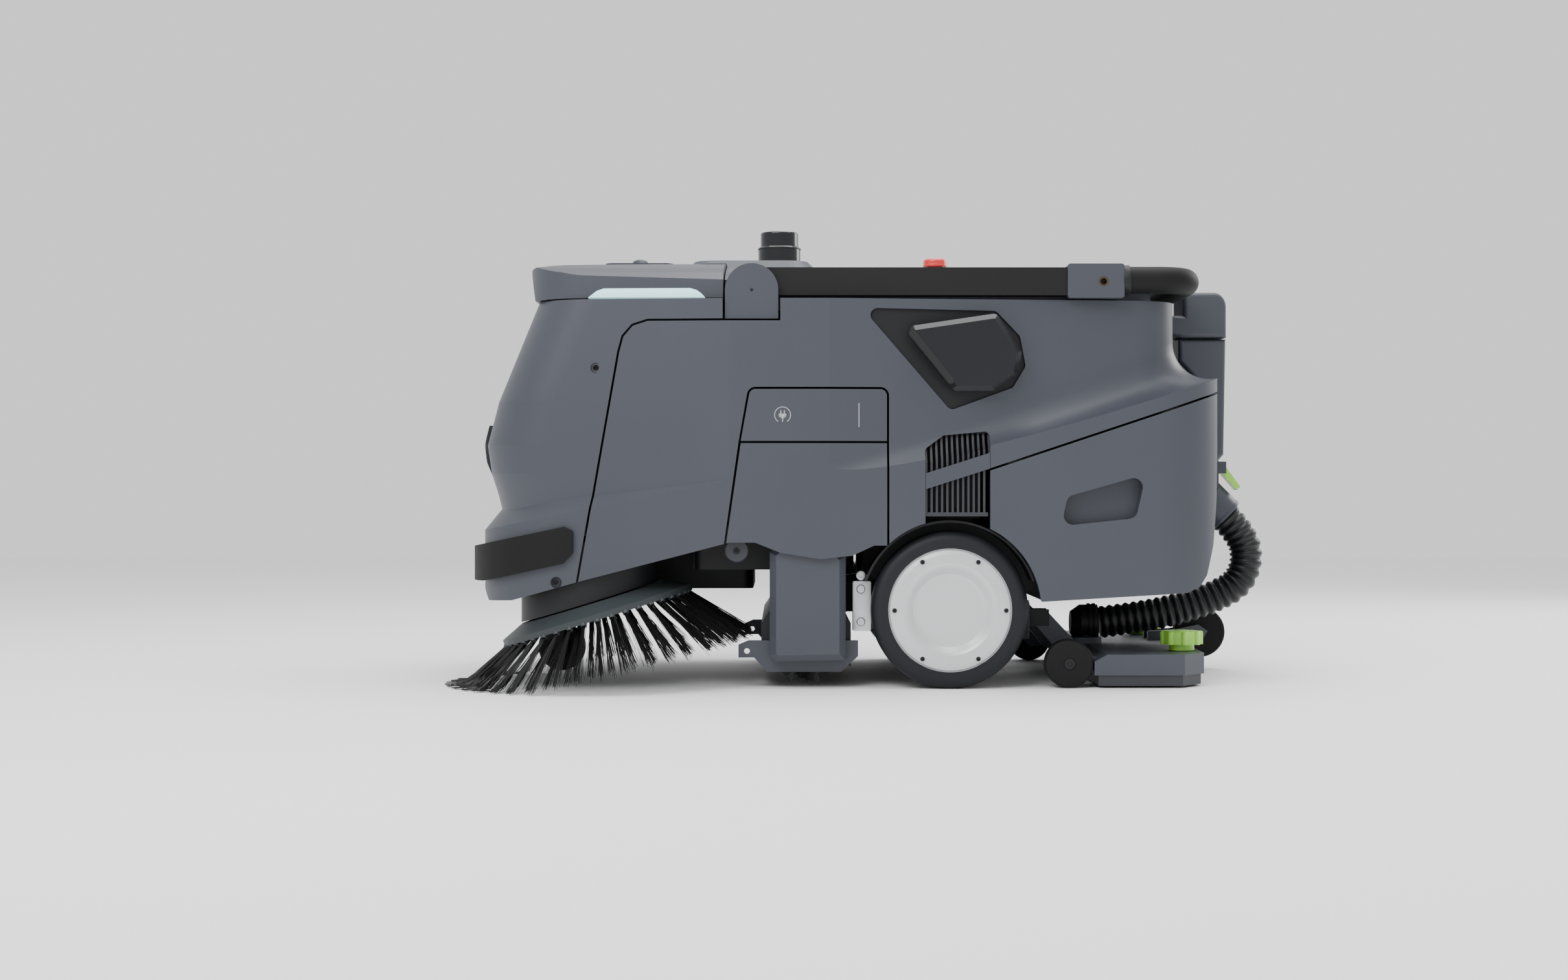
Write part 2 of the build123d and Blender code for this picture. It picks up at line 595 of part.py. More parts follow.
BAR_LOW, BAR_HIGH = 549.0, 588.0
BAR_HALF_W = 14.0
SLEEVE = (396.0, 475.0)
GRIP_X = 570.0
GRIP_Z = 571.0
GRIP_R = 19.0
HOLE_X = 446.0                      # accessory hole in each sleeve
HOLE_R = 7.0
HOLE_DEPTH = 16.0
PIN_R = 5.0
for side, name in SIDES:
    with BuildPart() as hinge_cap:
        low, high = span(side, BAR_Y - 24.0, BAR_Y + 33.0)
        with BuildSketch(Plane.XZ.offset(-low)):
            with Locations((PIVOT_X, PIVOT_Z)):
                SlotCenterToCenter(0.01, 2 * CAP_HALF)
            with Locations((PIVOT_X, (PIVOT_Z + 515.0) / 2)):
                Rectangle(2 * CAP_HALF, PIVOT_Z - 515.0)
        extrude(amount=-(high - low))
        low, high = span(side, BAR_Y - BAR_HALF_W - CLEAR, BAR_Y + BAR_HALF_W + CLEAR)
        add(block((PIVOT_X - 28.0, low, 528.0), (PIVOT_X + 60.0, high, 640.0)), mode=Mode.SUBTRACT)
        add(rod(PIVOT_X, PIVOT_Z, PIN_R, *span(side, BAR_Y - 20.0, BAR_Y + 25.0)))
    pair_up(hinge_cap, "hinge_caps")

    with BuildPart() as handle_bar:
        low, high = span(side, BAR_Y - BAR_HALF_W, BAR_Y + BAR_HALF_W)
        add(across(((PIVOT_X - 18.0, BAR_LOW), (SLEEVE[0] + 30.0, BAR_LOW), (SLEEVE[0] + 30.0, BAR_HIGH),
                    (PIVOT_X, BAR_HIGH), (PIVOT_X - 18.0, PIVOT_Z + 15.0)), corner=4.0, low=low, high=high))
        add(rod(PIVOT_X, PIVOT_Z, PIN_R + PIN_FIT, low - 1.0, high + 1.0), mode=Mode.SUBTRACT)
    pair_up(handle_bar, "handle_bars")

    with BuildPart() as handle_sleeve:
        low, high = span(side, BAR_Y - BAR_HALF_W - 4.0, BAR_Y + BAR_HALF_W + 4.0)
        add(across(((SLEEVE[0], 545.0), (SLEEVE[1], 545.0), (SLEEVE[1], 593.0), (SLEEVE[0], 593.0)),
                   corner=4.0, low=low, high=high))
        low, high = span(side, BAR_Y - BAR_HALF_W, BAR_Y + BAR_HALF_W)
        add(across(((SLEEVE[0] - 1.0, BAR_LOW), (SLEEVE[0] + 30.0, BAR_LOW), (SLEEVE[0] + 30.0, BAR_HIGH),
                    (SLEEVE[0] - 1.0, BAR_HIGH)), low=low, high=high), mode=Mode.SUBTRACT)
        low, high = span(side, BAR_Y + BAR_HALF_W + 4.0 - HOLE_DEPTH, BAR_Y + 60.0)
        add(rod(HOLE_X, 568.0, HOLE_R, low, high), mode=Mode.SUBTRACT)
    pair_up(handle_sleeve, "handle_sleeves")

with BuildPart() as handle_grip:
    with BuildLine() as grip_path:
        FilletPolyline(
            (SLEEVE[1] + 0.0, -BAR_Y, GRIP_Z), (GRIP_X, -BAR_Y, GRIP_Z), (GRIP_X, BAR_Y, GRIP_Z),
            (SLEEVE[1] + 0.0, BAR_Y, GRIP_Z), radius=46.0,
        )
    with BuildSketch(Plane(origin=(SLEEVE[1], -BAR_Y, GRIP_Z), z_dir=(1, 0, 0))):
        Circle(GRIP_R)
    sweep()
save(handle_grip, "handle_grip")

# ---------------------------------------------------------------- fittings on the covers

for side, name in SIDES:
    low, high = span(side, 0.0, ACROSS)
    with BuildPart() as pod_bezel:
        add(body_form(WALL + 0.5))
        add(body_form(WALL + 16.0), mode=Mode.SUBTRACT)
        add(across(POD, corner=POD_CORNER, inset=CLEAR, low=low, high=high), mode=Mode.INTERSECT)
    pair_up(pod_bezel, "pod_bezels")
    pod_out = span(side, 252.0, 314.0)
    with BuildPart() as pod_housing:
        add(across(((166.0, 503.0), (295.0, 522.0), (330.0, 468.0), (324.0, 437.0), (290.0, 414.0),
                    (236.0, 414.0)), corner=9.0, low=pod_out[0], high=pod_out[1]))
        outside = pod_housing.faces().filter_by(Axis.Y).sort_by(Axis.Y)[0 if side < 0 else -1]
        chamfer(outside.edges(), 7.0)
        add(body_form(WALL + 0.2), mode=Mode.SUBTRACT)
    pair_up(pod_housing, "pod_housings")

with BuildPart() as bumper:
    with BuildSketch(Plane.XY.offset(140.0)) as plan:
        with BuildLine():
            Polyline((-445.0, -HALF_WIDTH - 8.0), (-270.0, -HALF_WIDTH - 8.0), (-270.0, HALF_WIDTH + 8.0),
                     (-445.0, HALF_WIDTH + 8.0), close=True)
        make_face()
        fillet(plan.vertices().group_by(Axis.X)[0], 142.0)
    extrude(amount=95.0)
    add(across(((-480.0, 149.0), (-480.0, 190.0), (-304.0, 226.0), (-292.0, 220.0), (-292.0, 190.0),
                (-306.0, 175.0), (-425.0, 149.0))), mode=Mode.INTERSECT)
    add(body_form(-0.3), mode=Mode.SUBTRACT)
save(bumper, "bumper")

with BuildPart() as visor:
    add(block((-443.0, -96.0, 258.0), (-400.0, 96.0, 372.0), 12.0))
    add(across(((-413.0, 258.0), (-439.0, 318.0), (-443.0, 343.0), (-435.0, 372.0), (-390.0, 372.0),
                (-390.0, 258.0))), mode=Mode.INTERSECT)
    add(body_form(-0.3), mode=Mode.SUBTRACT)
save(visor, "front_visor")

# ---------------------------------------------------------------- drive wheels

for side, name in SIDES:
    low, high = span(side, WHEEL_OUT - WHEEL_W, WHEEL_OUT)
    with BuildPart() as tyre:
        add(rod(WHEEL_X, WHEEL_Z, WHEEL_R, low, high))
        shoulders = tyre.edges().filter_by(GeomType.CIRCLE)
        fillet(shoulders, 14.0)
        add(rod(WHEEL_X, WHEEL_Z, HUB_R, low - 1.0, high + 1.0), mode=Mode.SUBTRACT)
    save(tyre, f"tyre_{name}")
    low, high = span(side, WHEEL_OUT - WHEEL_W + 4.0, WHEEL_OUT - 8.0)
    with BuildPart() as hub_motor:
        add(rod(WHEEL_X, WHEEL_Z, HUB_R, low, high))
        low, high = span(side, BEAM_HALF - 20.0, WHEEL_OUT - 19.5)
        add(rod(WHEEL_X, WHEEL_Z, AXLE_R + PIN_FIT, low, high), mode=Mode.SUBTRACT)
    save(hub_motor, f"hub_motor_{name}")
    with BuildPart() as hub_cover:
        with BuildSketch(Plane.XY) as profile:      # radius against distance outwards
            with BuildLine():
                Polyline((0.0, 0.0), (85.0, 0.0), (85.0, 6.0), (83.0, 9.5), (78.0, 11.2), (66.0, 13.0),
                         (62.5, 12.6), (59.0, 11.0), (51.0, 4.6), (46.0, 3.4), (0.0, 3.4), close=True)
            make_face()
        revolve(axis=Axis.Y)
    cover = Part(hub_cover.part.wrapped)
    with BuildPart() as hub_plate:
        base = Location((WHEEL_X, side * (WHEEL_OUT - 8.0), WHEEL_Z))
        add(cover.moved(base) if side > 0 else cover.mirror(Plane.XZ).moved(base))
        with Locations(Plane((WHEEL_X, side * (WHEEL_OUT + 8.0), WHEEL_Z), z_dir=(0, side, 0))):
            with PolarLocations(77.5, 6):
                Cylinder(3.4, 10.0, mode=Mode.SUBTRACT)
    save(hub_plate, f"hub_cover_{name}")

# ---------------------------------------------------------------- front castor

CASTOR_X, CASTOR_Y = -362.0, 58.0
CASTOR_R = 36.0
TRAIL = 20.0
with BuildPart() as castor_plate:
    add(block((CASTOR_X - 32.0, CASTOR_Y - 34.0, 112.0), (CASTOR_X + 32.0, CASTOR_Y + 34.0, 118.0), 6.0))
    add(post(CASTOR_X, CASTOR_Y, 6.0, 90.0, 113.0))
    add(block((CASTOR_X - 22.0, CASTOR_Y - 26.0, 117.0), (CASTOR_X + 26.0, CASTOR_Y + 26.0, PAN_Z), 4.0))
save(castor_plate, "castor_mount")
with BuildPart() as castor_fork:
    add(post(CASTOR_X, CASTOR_Y, 22.0, 84.0, 108.0))
    add(post(CASTOR_X, CASTOR_Y, 6.0 + PIN_FIT, 88.0, 109.0), mode=Mode.SUBTRACT)
    for y in (-21.0, 17.0):
        low, high = CASTOR_Y + y, CASTOR_Y + y + 4.0
        add(across(((CASTOR_X - 14.0, 88.0), (CASTOR_X + TRAIL + 11.0, 34.0), (CASTOR_X + TRAIL + 9.0, 25.0),
                    (CASTOR_X + TRAIL - 9.0, 25.0), (CASTOR_X + TRAIL - 12.0, 34.0), (CASTOR_X - 20.0, 88.0)),
                   low=low, high=high))
        add(across(((CASTOR_X - 20.0, 84.0), (CASTOR_X + 20.0, 84.0), (CASTOR_X + TRAIL + 11.0, 34.0),
                    (CASTOR_X + TRAIL - 12.0, 34.0)), low=low, high=high))
    add(rod(CASTOR_X + TRAIL, CASTOR_R, 5.0, CASTOR_Y - 18.0, CASTOR_Y + 18.0))
save(castor_fork, "castor_fork")
with BuildPart() as castor_wheel:
    add(rod(CASTOR_X + TRAIL, CASTOR_R, CASTOR_R, CASTOR_Y - 14.0, CASTOR_Y + 14.0))
    fillet(castor_wheel.edges().filter_by(GeomType.CIRCLE), 5.0)
    add(rod(CASTOR_X + TRAIL, CASTOR_R, 5.0 + PIN_FIT, CASTOR_Y - 20.0, CASTOR_Y + 20.0), mode=Mode.SUBTRACT)
save(castor_wheel, "castor_wheel")

# ---------------------------------------------------------------- side brush, on the left only

BRUSH_X, BRUSH_Y, BRUSH_Z = -270.0, -203.0, 109.0
BRUSH_TILT = 16.9
RING_R = 139.0
SHROUD_X = -277.0
SHROUD_R = 98.0
TIP_R = 222.0
spin_plane = Plane(
    origin=(BRUSH_X, BRUSH_Y, BRUSH_Z), x_dir=(cos(radians(BRUSH_TILT)), 0.0, sin(radians(BRUSH_TILT))),
    z_dir=(-sin(radians(BRUSH_TILT)), 0.0, cos(radians(BRUSH_TILT))),
)
with BuildPart() as brush_shroud:
    add(post(SHROUD_X, BRUSH_Y, SHROUD_R, 60.0, 204.0))
    add(post(SHROUD_X, BRUSH_Y, SHROUD_R - 5.0, 40.0, 198.0), mode=Mode.SUBTRACT)
    with BuildSketch(spin_plane.offset(11.0)):
        Circle(260.0)
    extrude(amount=-200.0, mode=Mode.SUBTRACT)
    add(block((SHROUD_X - 20.0, BRUSH_Y + 60.0, 198.0), (SHROUD_X + 20.0, -40.0, 210.0)))
save(brush_shroud, "brush_shroud")
with BuildPart() as brush_motor:
    with BuildSketch(spin_plane.offset(14.0)):
        Circle(38.0)
    extrude(amount=56.0)
    with BuildSketch(spin_plane.offset(-6.0)):
        Circle(9.0)
    extrude(amount=21.0)
    add(post(SHROUD_X, BRUSH_Y, 30.0, 150.0, 198.0))
save(brush_motor, "brush_motor")
with BuildPart() as brush_ring:
    with BuildSketch(spin_plane.offset(-14.0)):
        Circle(RING_R)
    with BuildSketch(spin_plane.offset(-6.0)):
        Circle(RING_R)
    loft()
    with BuildSketch(spin_plane.offset(-6.0)):
        Circle(RING_R)
    with BuildSketch(spin_plane.offset(9.0)):
        Circle(RING_R - 33.0)
    loft()
    with BuildSketch(spin_plane.offset(10.0)):
        Circle(RING_R - 38.0)
    extrude(amount=-11.0, mode=Mode.SUBTRACT)
    with BuildSketch(spin_plane.offset(-20.0)):
        Circle(9.0 + PIN_FIT)
    extrude(amount=30.0, mode=Mode.SUBTRACT)
save(brush_ring, "brush_ring")
with BuildPart() as bristles:
    with BuildSketch(spin_plane.offset(-14.0)):
        Circle(RING_R - 5.0)
        Circle(RING_R - 29.0, mode=Mode.SUBTRACT)
    with BuildSketch(spin_plane.offset(-44.0)):
        Circle(TIP_R)
        Circle(TIP_R - 60.0, mode=Mode.SUBTRACT)
    loft()
save(bristles, "side_bristles")

# ---------------------------------------------------------------- roller brush deck

ROLLER_X, ROLLER_Z = 32.0, 58.0
ROLLER_R = 55.0
DECK_PIVOT = (127.0, 136.0)
DECK_HALF_W = 262.0
with BuildPart() as deck_housing:
    add(across(((-32.0, 30.0), (-32.0, 90.0), (-8.0, 126.0), (72.0, 126.0), (94.0, 90.0), (94.0, 30.0)),
               low=-DECK_HALF_W, high=DECK_HALF_W))
    add(rod(ROLLER_X, ROLLER_Z, ROLLER_R + 4.0, -DECK_HALF_W + 6.0, DECK_HALF_W - 6.0), mode=Mode.SUBTRACT)
    add(block((-27.0, -DECK_HALF_W + 6.0, -10.0), (91.0, DECK_HALF_W - 6.0, 52.0)), mode=Mode.SUBTRACT)
    for y in (-150.0, 150.0):
        add(across(((66.0, 112.0), (80.0, 140.0), (127.0, 148.0), (139.0, 136.0), (127.0, 124.0), (90.0, 100.0)),
                   low=y - 7.0, high=y + 7.0))
    add(rod(DECK_PIVOT[0], DECK_PIVOT[1], 6.0 + PIN_FIT, -200.0, 200.0), mode=Mode.SUBTRACT)
    add(rod(ROLLER_X, ROLLER_Z, 8.5, -ACROSS, ACROSS), mode=Mode.SUBTRACT)
save(deck_housing, "deck_housing")
with BuildPart() as deck_pivot:
    add(rod(DECK_PIVOT[0], DECK_PIVOT[1], 6.0, -172.0, 172.0))
    for y in (-150.0, 150.0):
        for ear in (-22.0, 12.0):
            add(across(((114.0, 128.0), (114.0, PAN_Z), (140.0, PAN_Z), (140.0, 128.0)),
                       low=y + ear, high=y + ear + 10.0))
pair_up(deck_pivot, "axle_beam")
ENDS = ((-20.0, 46.0), (-20.0, 190.0), (-8.0, 200.0), (74.0, 194.0), (86.0, 184.0), (86.0, 40.0), (-12.0, 38.0))
PLATE = ((-64.0, 42.0), (-64.0, 60.0), (-50.0, 66.0), (-22.0, 66.0), (104.0, 66.0), (104.0, 44.0),
         (80.0, 22.0), (-24.0, 22.0), (-42.0, 42.0))
for side, name in SIDES:
    low, high = span(side, DECK_HALF_W + 7.0, 301.0)
    with BuildPart() as end_cover:
        add(across(ENDS, low=low, high=high))
        face = end_cover.faces().filter_by(Axis.Y).sort_by(Axis.Y)[0 if side < 0 else -1]
        chamfer(face.edges(), 9.0)
    pair_up(end_cover, "deck_end_covers")
    low, high = span(side, DECK_HALF_W, DECK_HALF_W + 6.5)
    with BuildPart() as side_plate:
        add(across(PLATE, low=low, high=high))
        add(across(((-18.0, 60.0), (-18.0, 120.0), (84.0, 120.0), (84.0, 60.0)), low=low, high=high))
        add(rod(-52.0, 51.0, 4.0, low, high), mode=Mode.SUBTRACT)
        low, high = span(side, DECK_HALF_W - 18.0, DECK_HALF_W + 2.0)
        add(rod(ROLLER_X, ROLLER_Z, 8.0, low, high))
    pair_up(side_plate, "deck_side_plates")
with BuildPart() as roller_core:
    add(rod(ROLLER_X, ROLLER_Z, 27.0, -DECK_HALF_W + 8.0, DECK_HALF_W - 8.0))
    for side, name in SIDES:
        low, high = span(side, DECK_HALF_W - 20.0, DECK_HALF_W)
        add(rod(ROLLER_X, ROLLER_Z, 8.0 + PIN_FIT, low, high), mode=Mode.SUBTRACT)
save(roller_core, "roller_core")
with BuildPart() as roller_brush:
    add(rod(ROLLER_X, ROLLER_Z, ROLLER_R, -DECK_HALF_W + 10.0, DECK_HALF_W - 10.0))
    add(rod(ROLLER_X, ROLLER_Z, 27.0, -DECK_HALF_W, DECK_HALF_W), mode=Mode.SUBTRACT)
save(roller_brush, "roller_bristles")

# ---------------------------------------------------------------- towed suction head

HEAD_PIVOT = (372.0, 92.0)
HEAD_HALF = 283.0
FRONT_ROLLER = (399.0, 34.0, 34.0)
KNOB_X, KNOB_Y = 571.0, 190.0
TAIL_X, TAIL_Y, TAIL_Z, TAIL_R = 642.0, 74.0, 58.0, 39.0
with BuildPart() as head_shell:
    with BuildSketch(Plane.XY.offset(18.0)) as plan:
        with BuildLine():
            Polyline((434.0, -HEAD_HALF), (560.0, -HEAD_HALF), (594.0, -HEAD_HALF + 40.0), (600.0, -60.0),
                     (600.0, 60.0), (594.0, HEAD_HALF - 40.0), (560.0, HEAD_HALF), (434.0, HEAD_HALF),
                     close=True)
        make_face()
    extrude(amount=29.0)
    add(across(((420.0, 10.0), (428.0, 34.0), (452.0, 47.0), (610.0, 47.0), (610.0, 10.0))),
        mode=Mode.INTERSECT)
    add(block((446.0, -HEAD_HALF + 12.0, 4.0), (556.0, HEAD_HALF - 12.0, 41.0)), mode=Mode.SUBTRACT)
    with BuildSketch(Plane.XY.offset(40.0)):
        with Locations((452.0, 0.0)):
            RectangleRounded(50.0, 96.0, 14.0)
    extrude(amount=16.0)
    add(block((446.0, -24.0, 30.0), (474.0, 24.0, 50.0)), mode=Mode.SUBTRACT)
    for y in (TAIL_Y - 24.0, TAIL_Y + 16.0):
        add(across(((560.0, 40.0), (560.0, 60.0), (600.0, 62.0), (638.0, 70.0), (652.0, 60.0), (644.0, 46.0),
                    (600.0, 40.0)), low=y, high=y + 8.0))
    add(rod(TAIL_X, TAIL_Z, TAIL_R + 2.5, TAIL_Y - 16.0, TAIL_Y + 16.0), mode=Mode.SUBTRACT)
    add(rod(TAIL_X, TAIL_Z, 5.0, TAIL_Y - 18.0, TAIL_Y + 18.0))
    for y in (-140.0, 140.0):
        add(across(((434.0, 22.0), (434.0, 46.0), (380.0, 104.0), (364.0, 102.0), (361.0, 88.0), (410.0, 30.0)),
                   low=y - 8.0, high=y + 8.0))
    add(rod(*HEAD_PIVOT, 6.0 + PIN_FIT, -200.0, 200.0), mode=Mode.SUBTRACT)
    for side, name in SIDES:
        low, high = span(side, HEAD_HALF - 34.0, HEAD_HALF - 28.0)
        add(across(((446.0, 24.0), (446.0, 42.0), (400.0, 44.0), (389.0, 34.0), (399.0, 24.0)),
                   low=low, high=high))
        low, high = span(side, HEAD_HALF - 30.0, HEAD_HALF - 3.0)
        add(rod(FRONT_ROLLER[0], FRONT_ROLLER[1], 6.0, low, high))
save(head_shell, "head_shell")
with BuildPart() as head_pivot:
    add(rod(*HEAD_PIVOT, 6.0, -162.0, 162.0))
    for y in (-140.0, 140.0):
        for ear in (-22.0, 12.0):
            add(across(((BEAM_X[1], 80.0), (BEAM_X[1], 104.0), (384.0, 104.0), (384.0, 80.0)),
                       low=y + ear, high=y + ear + 10.0))
pair_up(head_pivot, "axle_beam")
with BuildPart() as head_skirt:
    with BuildSketch(Plane.XY.offset(3.0)) as plan:
        with BuildLine():
            Polyline((440.0, -HEAD_HALF + 3.0), (558.0, -HEAD_HALF + 3.0), (590.0, -HEAD_HALF + 43.0),
                     (596.0, -60.0), (596.0, 60.0), (590.0, HEAD_HALF - 43.0), (558.0, HEAD_HALF - 3.0),
                     (440.0, HEAD_HALF - 3.0), close=True)
        make_face()
    extrude(amount=15.0)
    add(block((446.0, -HEAD_HALF + 12.0, -4.0), (548.0, HEAD_HALF - 12.0, 41.0)), mode=Mode.SUBTRACT)
    add(rod(TAIL_X, TAIL_Z, TAIL_R + 2.5, TAIL_Y - 16.0, TAIL_Y + 16.0), mode=Mode.SUBTRACT)
save(head_skirt, "head_skirt")
for side, name in SIDES:
    low, high = span(side, HEAD_HALF - 26.0, HEAD_HALF)
    with BuildPart() as front_roller:
        add(rod(*FRONT_ROLLER, low, high))
        fillet(front_roller.edges().filter_by(GeomType.CIRCLE), 4.0)
        low, high = span(side, HEAD_HALF - 30.0, HEAD_HALF - 2.5)
        add(rod(FRONT_ROLLER[0], FRONT_ROLLER[1], 6.0 + PIN_FIT, low, high), mode=Mode.SUBTRACT)
    save(front_roller, f"head_roller_{name}")
    with BuildPart() as knob:
        with BuildSketch(Plane.XY.offset(56.0)):
            with Locations((KNOB_X, side * KNOB_Y)):
                Circle(27.0)
                with PolarLocations(26.0, 8):
                    Circle(4.8)
        extrude(amount=19.0)
        fillet(knob.faces().sort_by(Axis.Z)[-1].edges(), 2.5)
        add(post(KNOB_X, side * KNOB_Y, 18.0, 47.6, 56.0))
    save(knob, f"knob_{name}")
with BuildPart() as tail_wheel:
    add(rod(TAIL_X, TAIL_Z, TAIL_R, TAIL_Y - 13.0, TAIL_Y + 13.0))
    fillet(tail_wheel.edges().filter_by(GeomType.CIRCLE), 4.0)
    add(rod(TAIL_X, TAIL_Z, 5.0 + PIN_FIT, TAIL_Y - 20.0, TAIL_Y + 20.0), mode=Mode.SUBTRACT)
save(tail_wheel, "tail_wheel")

# ---------------------------------------------------------------- suction duct and hose

with BuildPart() as duct_elbow:
    add(across(((561.0, 510.0), (561.0, 538.0), (598.0, 538.0), (598.0, 573.0), (663.0, 573.0),
                (663.0, 505.0), (597.0, 505.0)), low=-48.0, high=48.0))
    outer_edge = [edge for edge in duct_elbow.edges().filter_by(Axis.Y)
                  if edge.center().X > 650.0 and edge.center().Z > 560.0]
    fillet(outer_edge, 20.0)
    fillet(duct_elbow.faces().filter_by(Axis.Y).edges(), 7.0)
pair_up(duct_elbow, "suction_duct")
with BuildPart() as duct:
    add(across(((592.0, 503.0), (663.0, 503.0), (660.0, 330.0), (652.0, 321.0), (628.0, 321.0),
                (620.5, 336.0), (620.5, 440.0), (592.0, 470.0)), low=-42.0, high=42.0))
    fillet(duct.faces().filter_by(Axis.Y).edges(), 6.0)
    add(block((616.0, -30.0, 424.0), (630.0, 30.0, 434.0)))
pair_up(duct, "suction_duct")

HOSE_R = 24.5
HOSE_ROUTE = (                      # from the cuff on the duct down to the suction head
    (667.0, 238.0), (695.3, 209.7), (703.6, 170.6), (688.6, 133.5), (647.6, 112.6), (602.1, 97.4),
    (537.5, 83.7), (478.0, 76.4),
)
CUFF_R = 30.0
CUFF_LENGTH = 60.0
cuff_plane = Plane(origin=(HOSE_ROUTE[0][0], 0.0, HOSE_ROUTE[0][1]), z_dir=(-1.0, 0.0, 1.0))
with BuildPart() as connector:
    with BuildSketch(cuff_plane):
        Circle(CUFF_R)
    extrude(amount=CUFF_LENGTH)
    add(block((622.0, -26.0, 280.0), (655.0, 26.0, 321.0)))
    for y in (-18.0, 14.0):
        add(block((650.0, y, 302.0), (668.0, y + 4.0, 320.0)))
    add(rod(661.0, 311.0, 2.5, -16.0, 16.0))
    add(body_form(-1.0), mode=Mode.SUBTRACT)
save(connector, "hose_connector")
with BuildPart() as latch_lever:
    add(across(((661.0, 316.4), (666.0, 315.0), (690.0, 282.0), (685.0, 277.0), (664.0, 301.0),
                (657.5, 307.0)), low=-13.5, high=13.5))
    add(rod(661.0, 311.0, 5.4, -13.5, 13.5))
    add(rod(661.0, 311.0, 2.5 + PIN_FIT, -20.0, 20.0), mode=Mode.SUBTRACT)
save(latch_lever, "latch_lever")
with BuildPart() as hose_elbow:
    with BuildSketch(Plane(origin=(448.0, 0.0, HOSE_ROUTE[-1][1]), z_dir=(1, 0, 0))):
        Circle(27.0)
    extrude(amount=HOSE_ROUTE[-1][0] - 3.2 - 448.0)
    with BuildSketch(Plane(origin=(448.0, 0.0, HOSE_ROUTE[-1][1]), z_dir=(-1, 0, 0))):
        Circle(27.0)
    extrude(amount=14.0, taper=35.0)
    add(post(456.0, 0.0, 20.0, 56.0, 80.0))
    add(block((400.0, -60.0, 20.0), (600.0, 60.0, 56.0)), mode=Mode.SUBTRACT)
save(hose_elbow, "hose_elbow")


def corner_radii(points):
    """Radius of each corner's arc: 0.45 of the shorter run over the tangent of half the turn."""
    radii = []
    for back, here, ahead in zip(points, points[1:], points[2:]):
        first = Vector(here[0] - back[0], 0.0, here[1] - back[1])
        second = Vector(ahead[0] - here[0], 0.0, ahead[1] - here[1])
        half_turn = radians(first.get_angle(second)) / 2
        radii.append(0.45 * min(first.length, second.length) / tan(half_turn))
    return radii


with BuildPart() as hose:
    with BuildLine() as hose_line:
        FilletPolyline(*[(x, 0.0, z) for x, z in HOSE_ROUTE], radius=corner_radii(HOSE_ROUTE))
    with BuildSketch(Plane(origin=hose_line.wires()[0] @ 0, z_dir=hose_line.wires()[0] % 0)):
        Circle(HOSE_R)
    sweep()
hose_length = hose_line.wires()[0].length
section = pi * HOSE_R ** 2
print("hose radii", [round(r) for r in corner_radii(HOSE_ROUTE)], "length", round(hose_length, 1))
print("hose volume over section times length", round(hose.part.volume / (section * hose_length), 4))
save(hose, "suction_hose")

for label, pieces in PAIRS.items():
    with BuildPart() as joined:
        add(pieces)
    save(joined, label)
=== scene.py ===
"""Looks of the robotic floor cleaner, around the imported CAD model.

Metres. The front faces -X, the side brush is on the -Y side, and +Z is up.
"""

import json
import math
import random

import bmesh
import bpy
from mathutils import Matrix, Vector


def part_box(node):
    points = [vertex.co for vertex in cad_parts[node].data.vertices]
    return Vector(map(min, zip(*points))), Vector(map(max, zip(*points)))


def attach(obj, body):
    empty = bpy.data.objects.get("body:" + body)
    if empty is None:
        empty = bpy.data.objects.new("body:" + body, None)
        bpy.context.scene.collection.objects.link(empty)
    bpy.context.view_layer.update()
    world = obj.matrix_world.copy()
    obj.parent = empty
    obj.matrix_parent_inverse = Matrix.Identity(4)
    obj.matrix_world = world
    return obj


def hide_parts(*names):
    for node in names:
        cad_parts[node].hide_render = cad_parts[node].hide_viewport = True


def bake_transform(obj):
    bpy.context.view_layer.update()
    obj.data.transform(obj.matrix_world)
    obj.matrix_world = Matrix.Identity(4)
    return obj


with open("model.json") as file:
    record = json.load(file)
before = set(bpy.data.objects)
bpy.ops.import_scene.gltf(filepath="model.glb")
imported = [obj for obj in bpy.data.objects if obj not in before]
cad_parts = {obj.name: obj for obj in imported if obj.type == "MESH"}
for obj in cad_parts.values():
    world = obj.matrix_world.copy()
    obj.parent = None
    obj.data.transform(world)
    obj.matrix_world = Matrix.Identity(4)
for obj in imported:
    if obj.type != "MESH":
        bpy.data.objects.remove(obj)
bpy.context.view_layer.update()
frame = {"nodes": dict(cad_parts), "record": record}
nodes = frame["nodes"]
MM = 0.001
SIDES = ((-1, "left"), (1, "right"))
LEFT = Vector((0, -1, 0))
ACROSS = Vector((0, 1, 0))
UP = Vector((0, 0, 1))
WHEEL_X = 0.231                            # wheel centre in the CAD drawing
tyre_low, tyre_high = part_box("tyre_left")
far_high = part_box("tyre_right")[1]
# the CAD drawing's datum, on the centre plane
DATUM = Vector(((tyre_low[0] + tyre_high[0]) / 2 - WHEEL_X, (tyre_low[1] + far_high[1]) / 2, 0.0))


def at(x, y, z):
    """A point given in the CAD drawing's millimetres."""
    return DATUM + Vector((x, y, z)) * MM


# ---------------------------------------------------------------- camera, floor and light

CAMERA_HEIGHT = 0.277
CAMERA_DISTANCE = 3.55
camera_data = bpy.data.cameras.new("camera")
camera_data.sensor_width = 36.0
camera_data.lens = 53.7
camera = bpy.data.objects.new("camera", camera_data)
camera.location = (DATUM.x, DATUM.y - CAMERA_DISTANCE, CAMERA_HEIGHT)
camera.rotation_euler = (math.radians(90), 0, 0)
bpy.context.scene.collection.objects.link(camera)
bpy.context.scene.camera = camera


def new_object(name, mesh):
    obj = bpy.data.objects.new(name, mesh)
    bpy.context.scene.collection.objects.link(obj)
    return obj


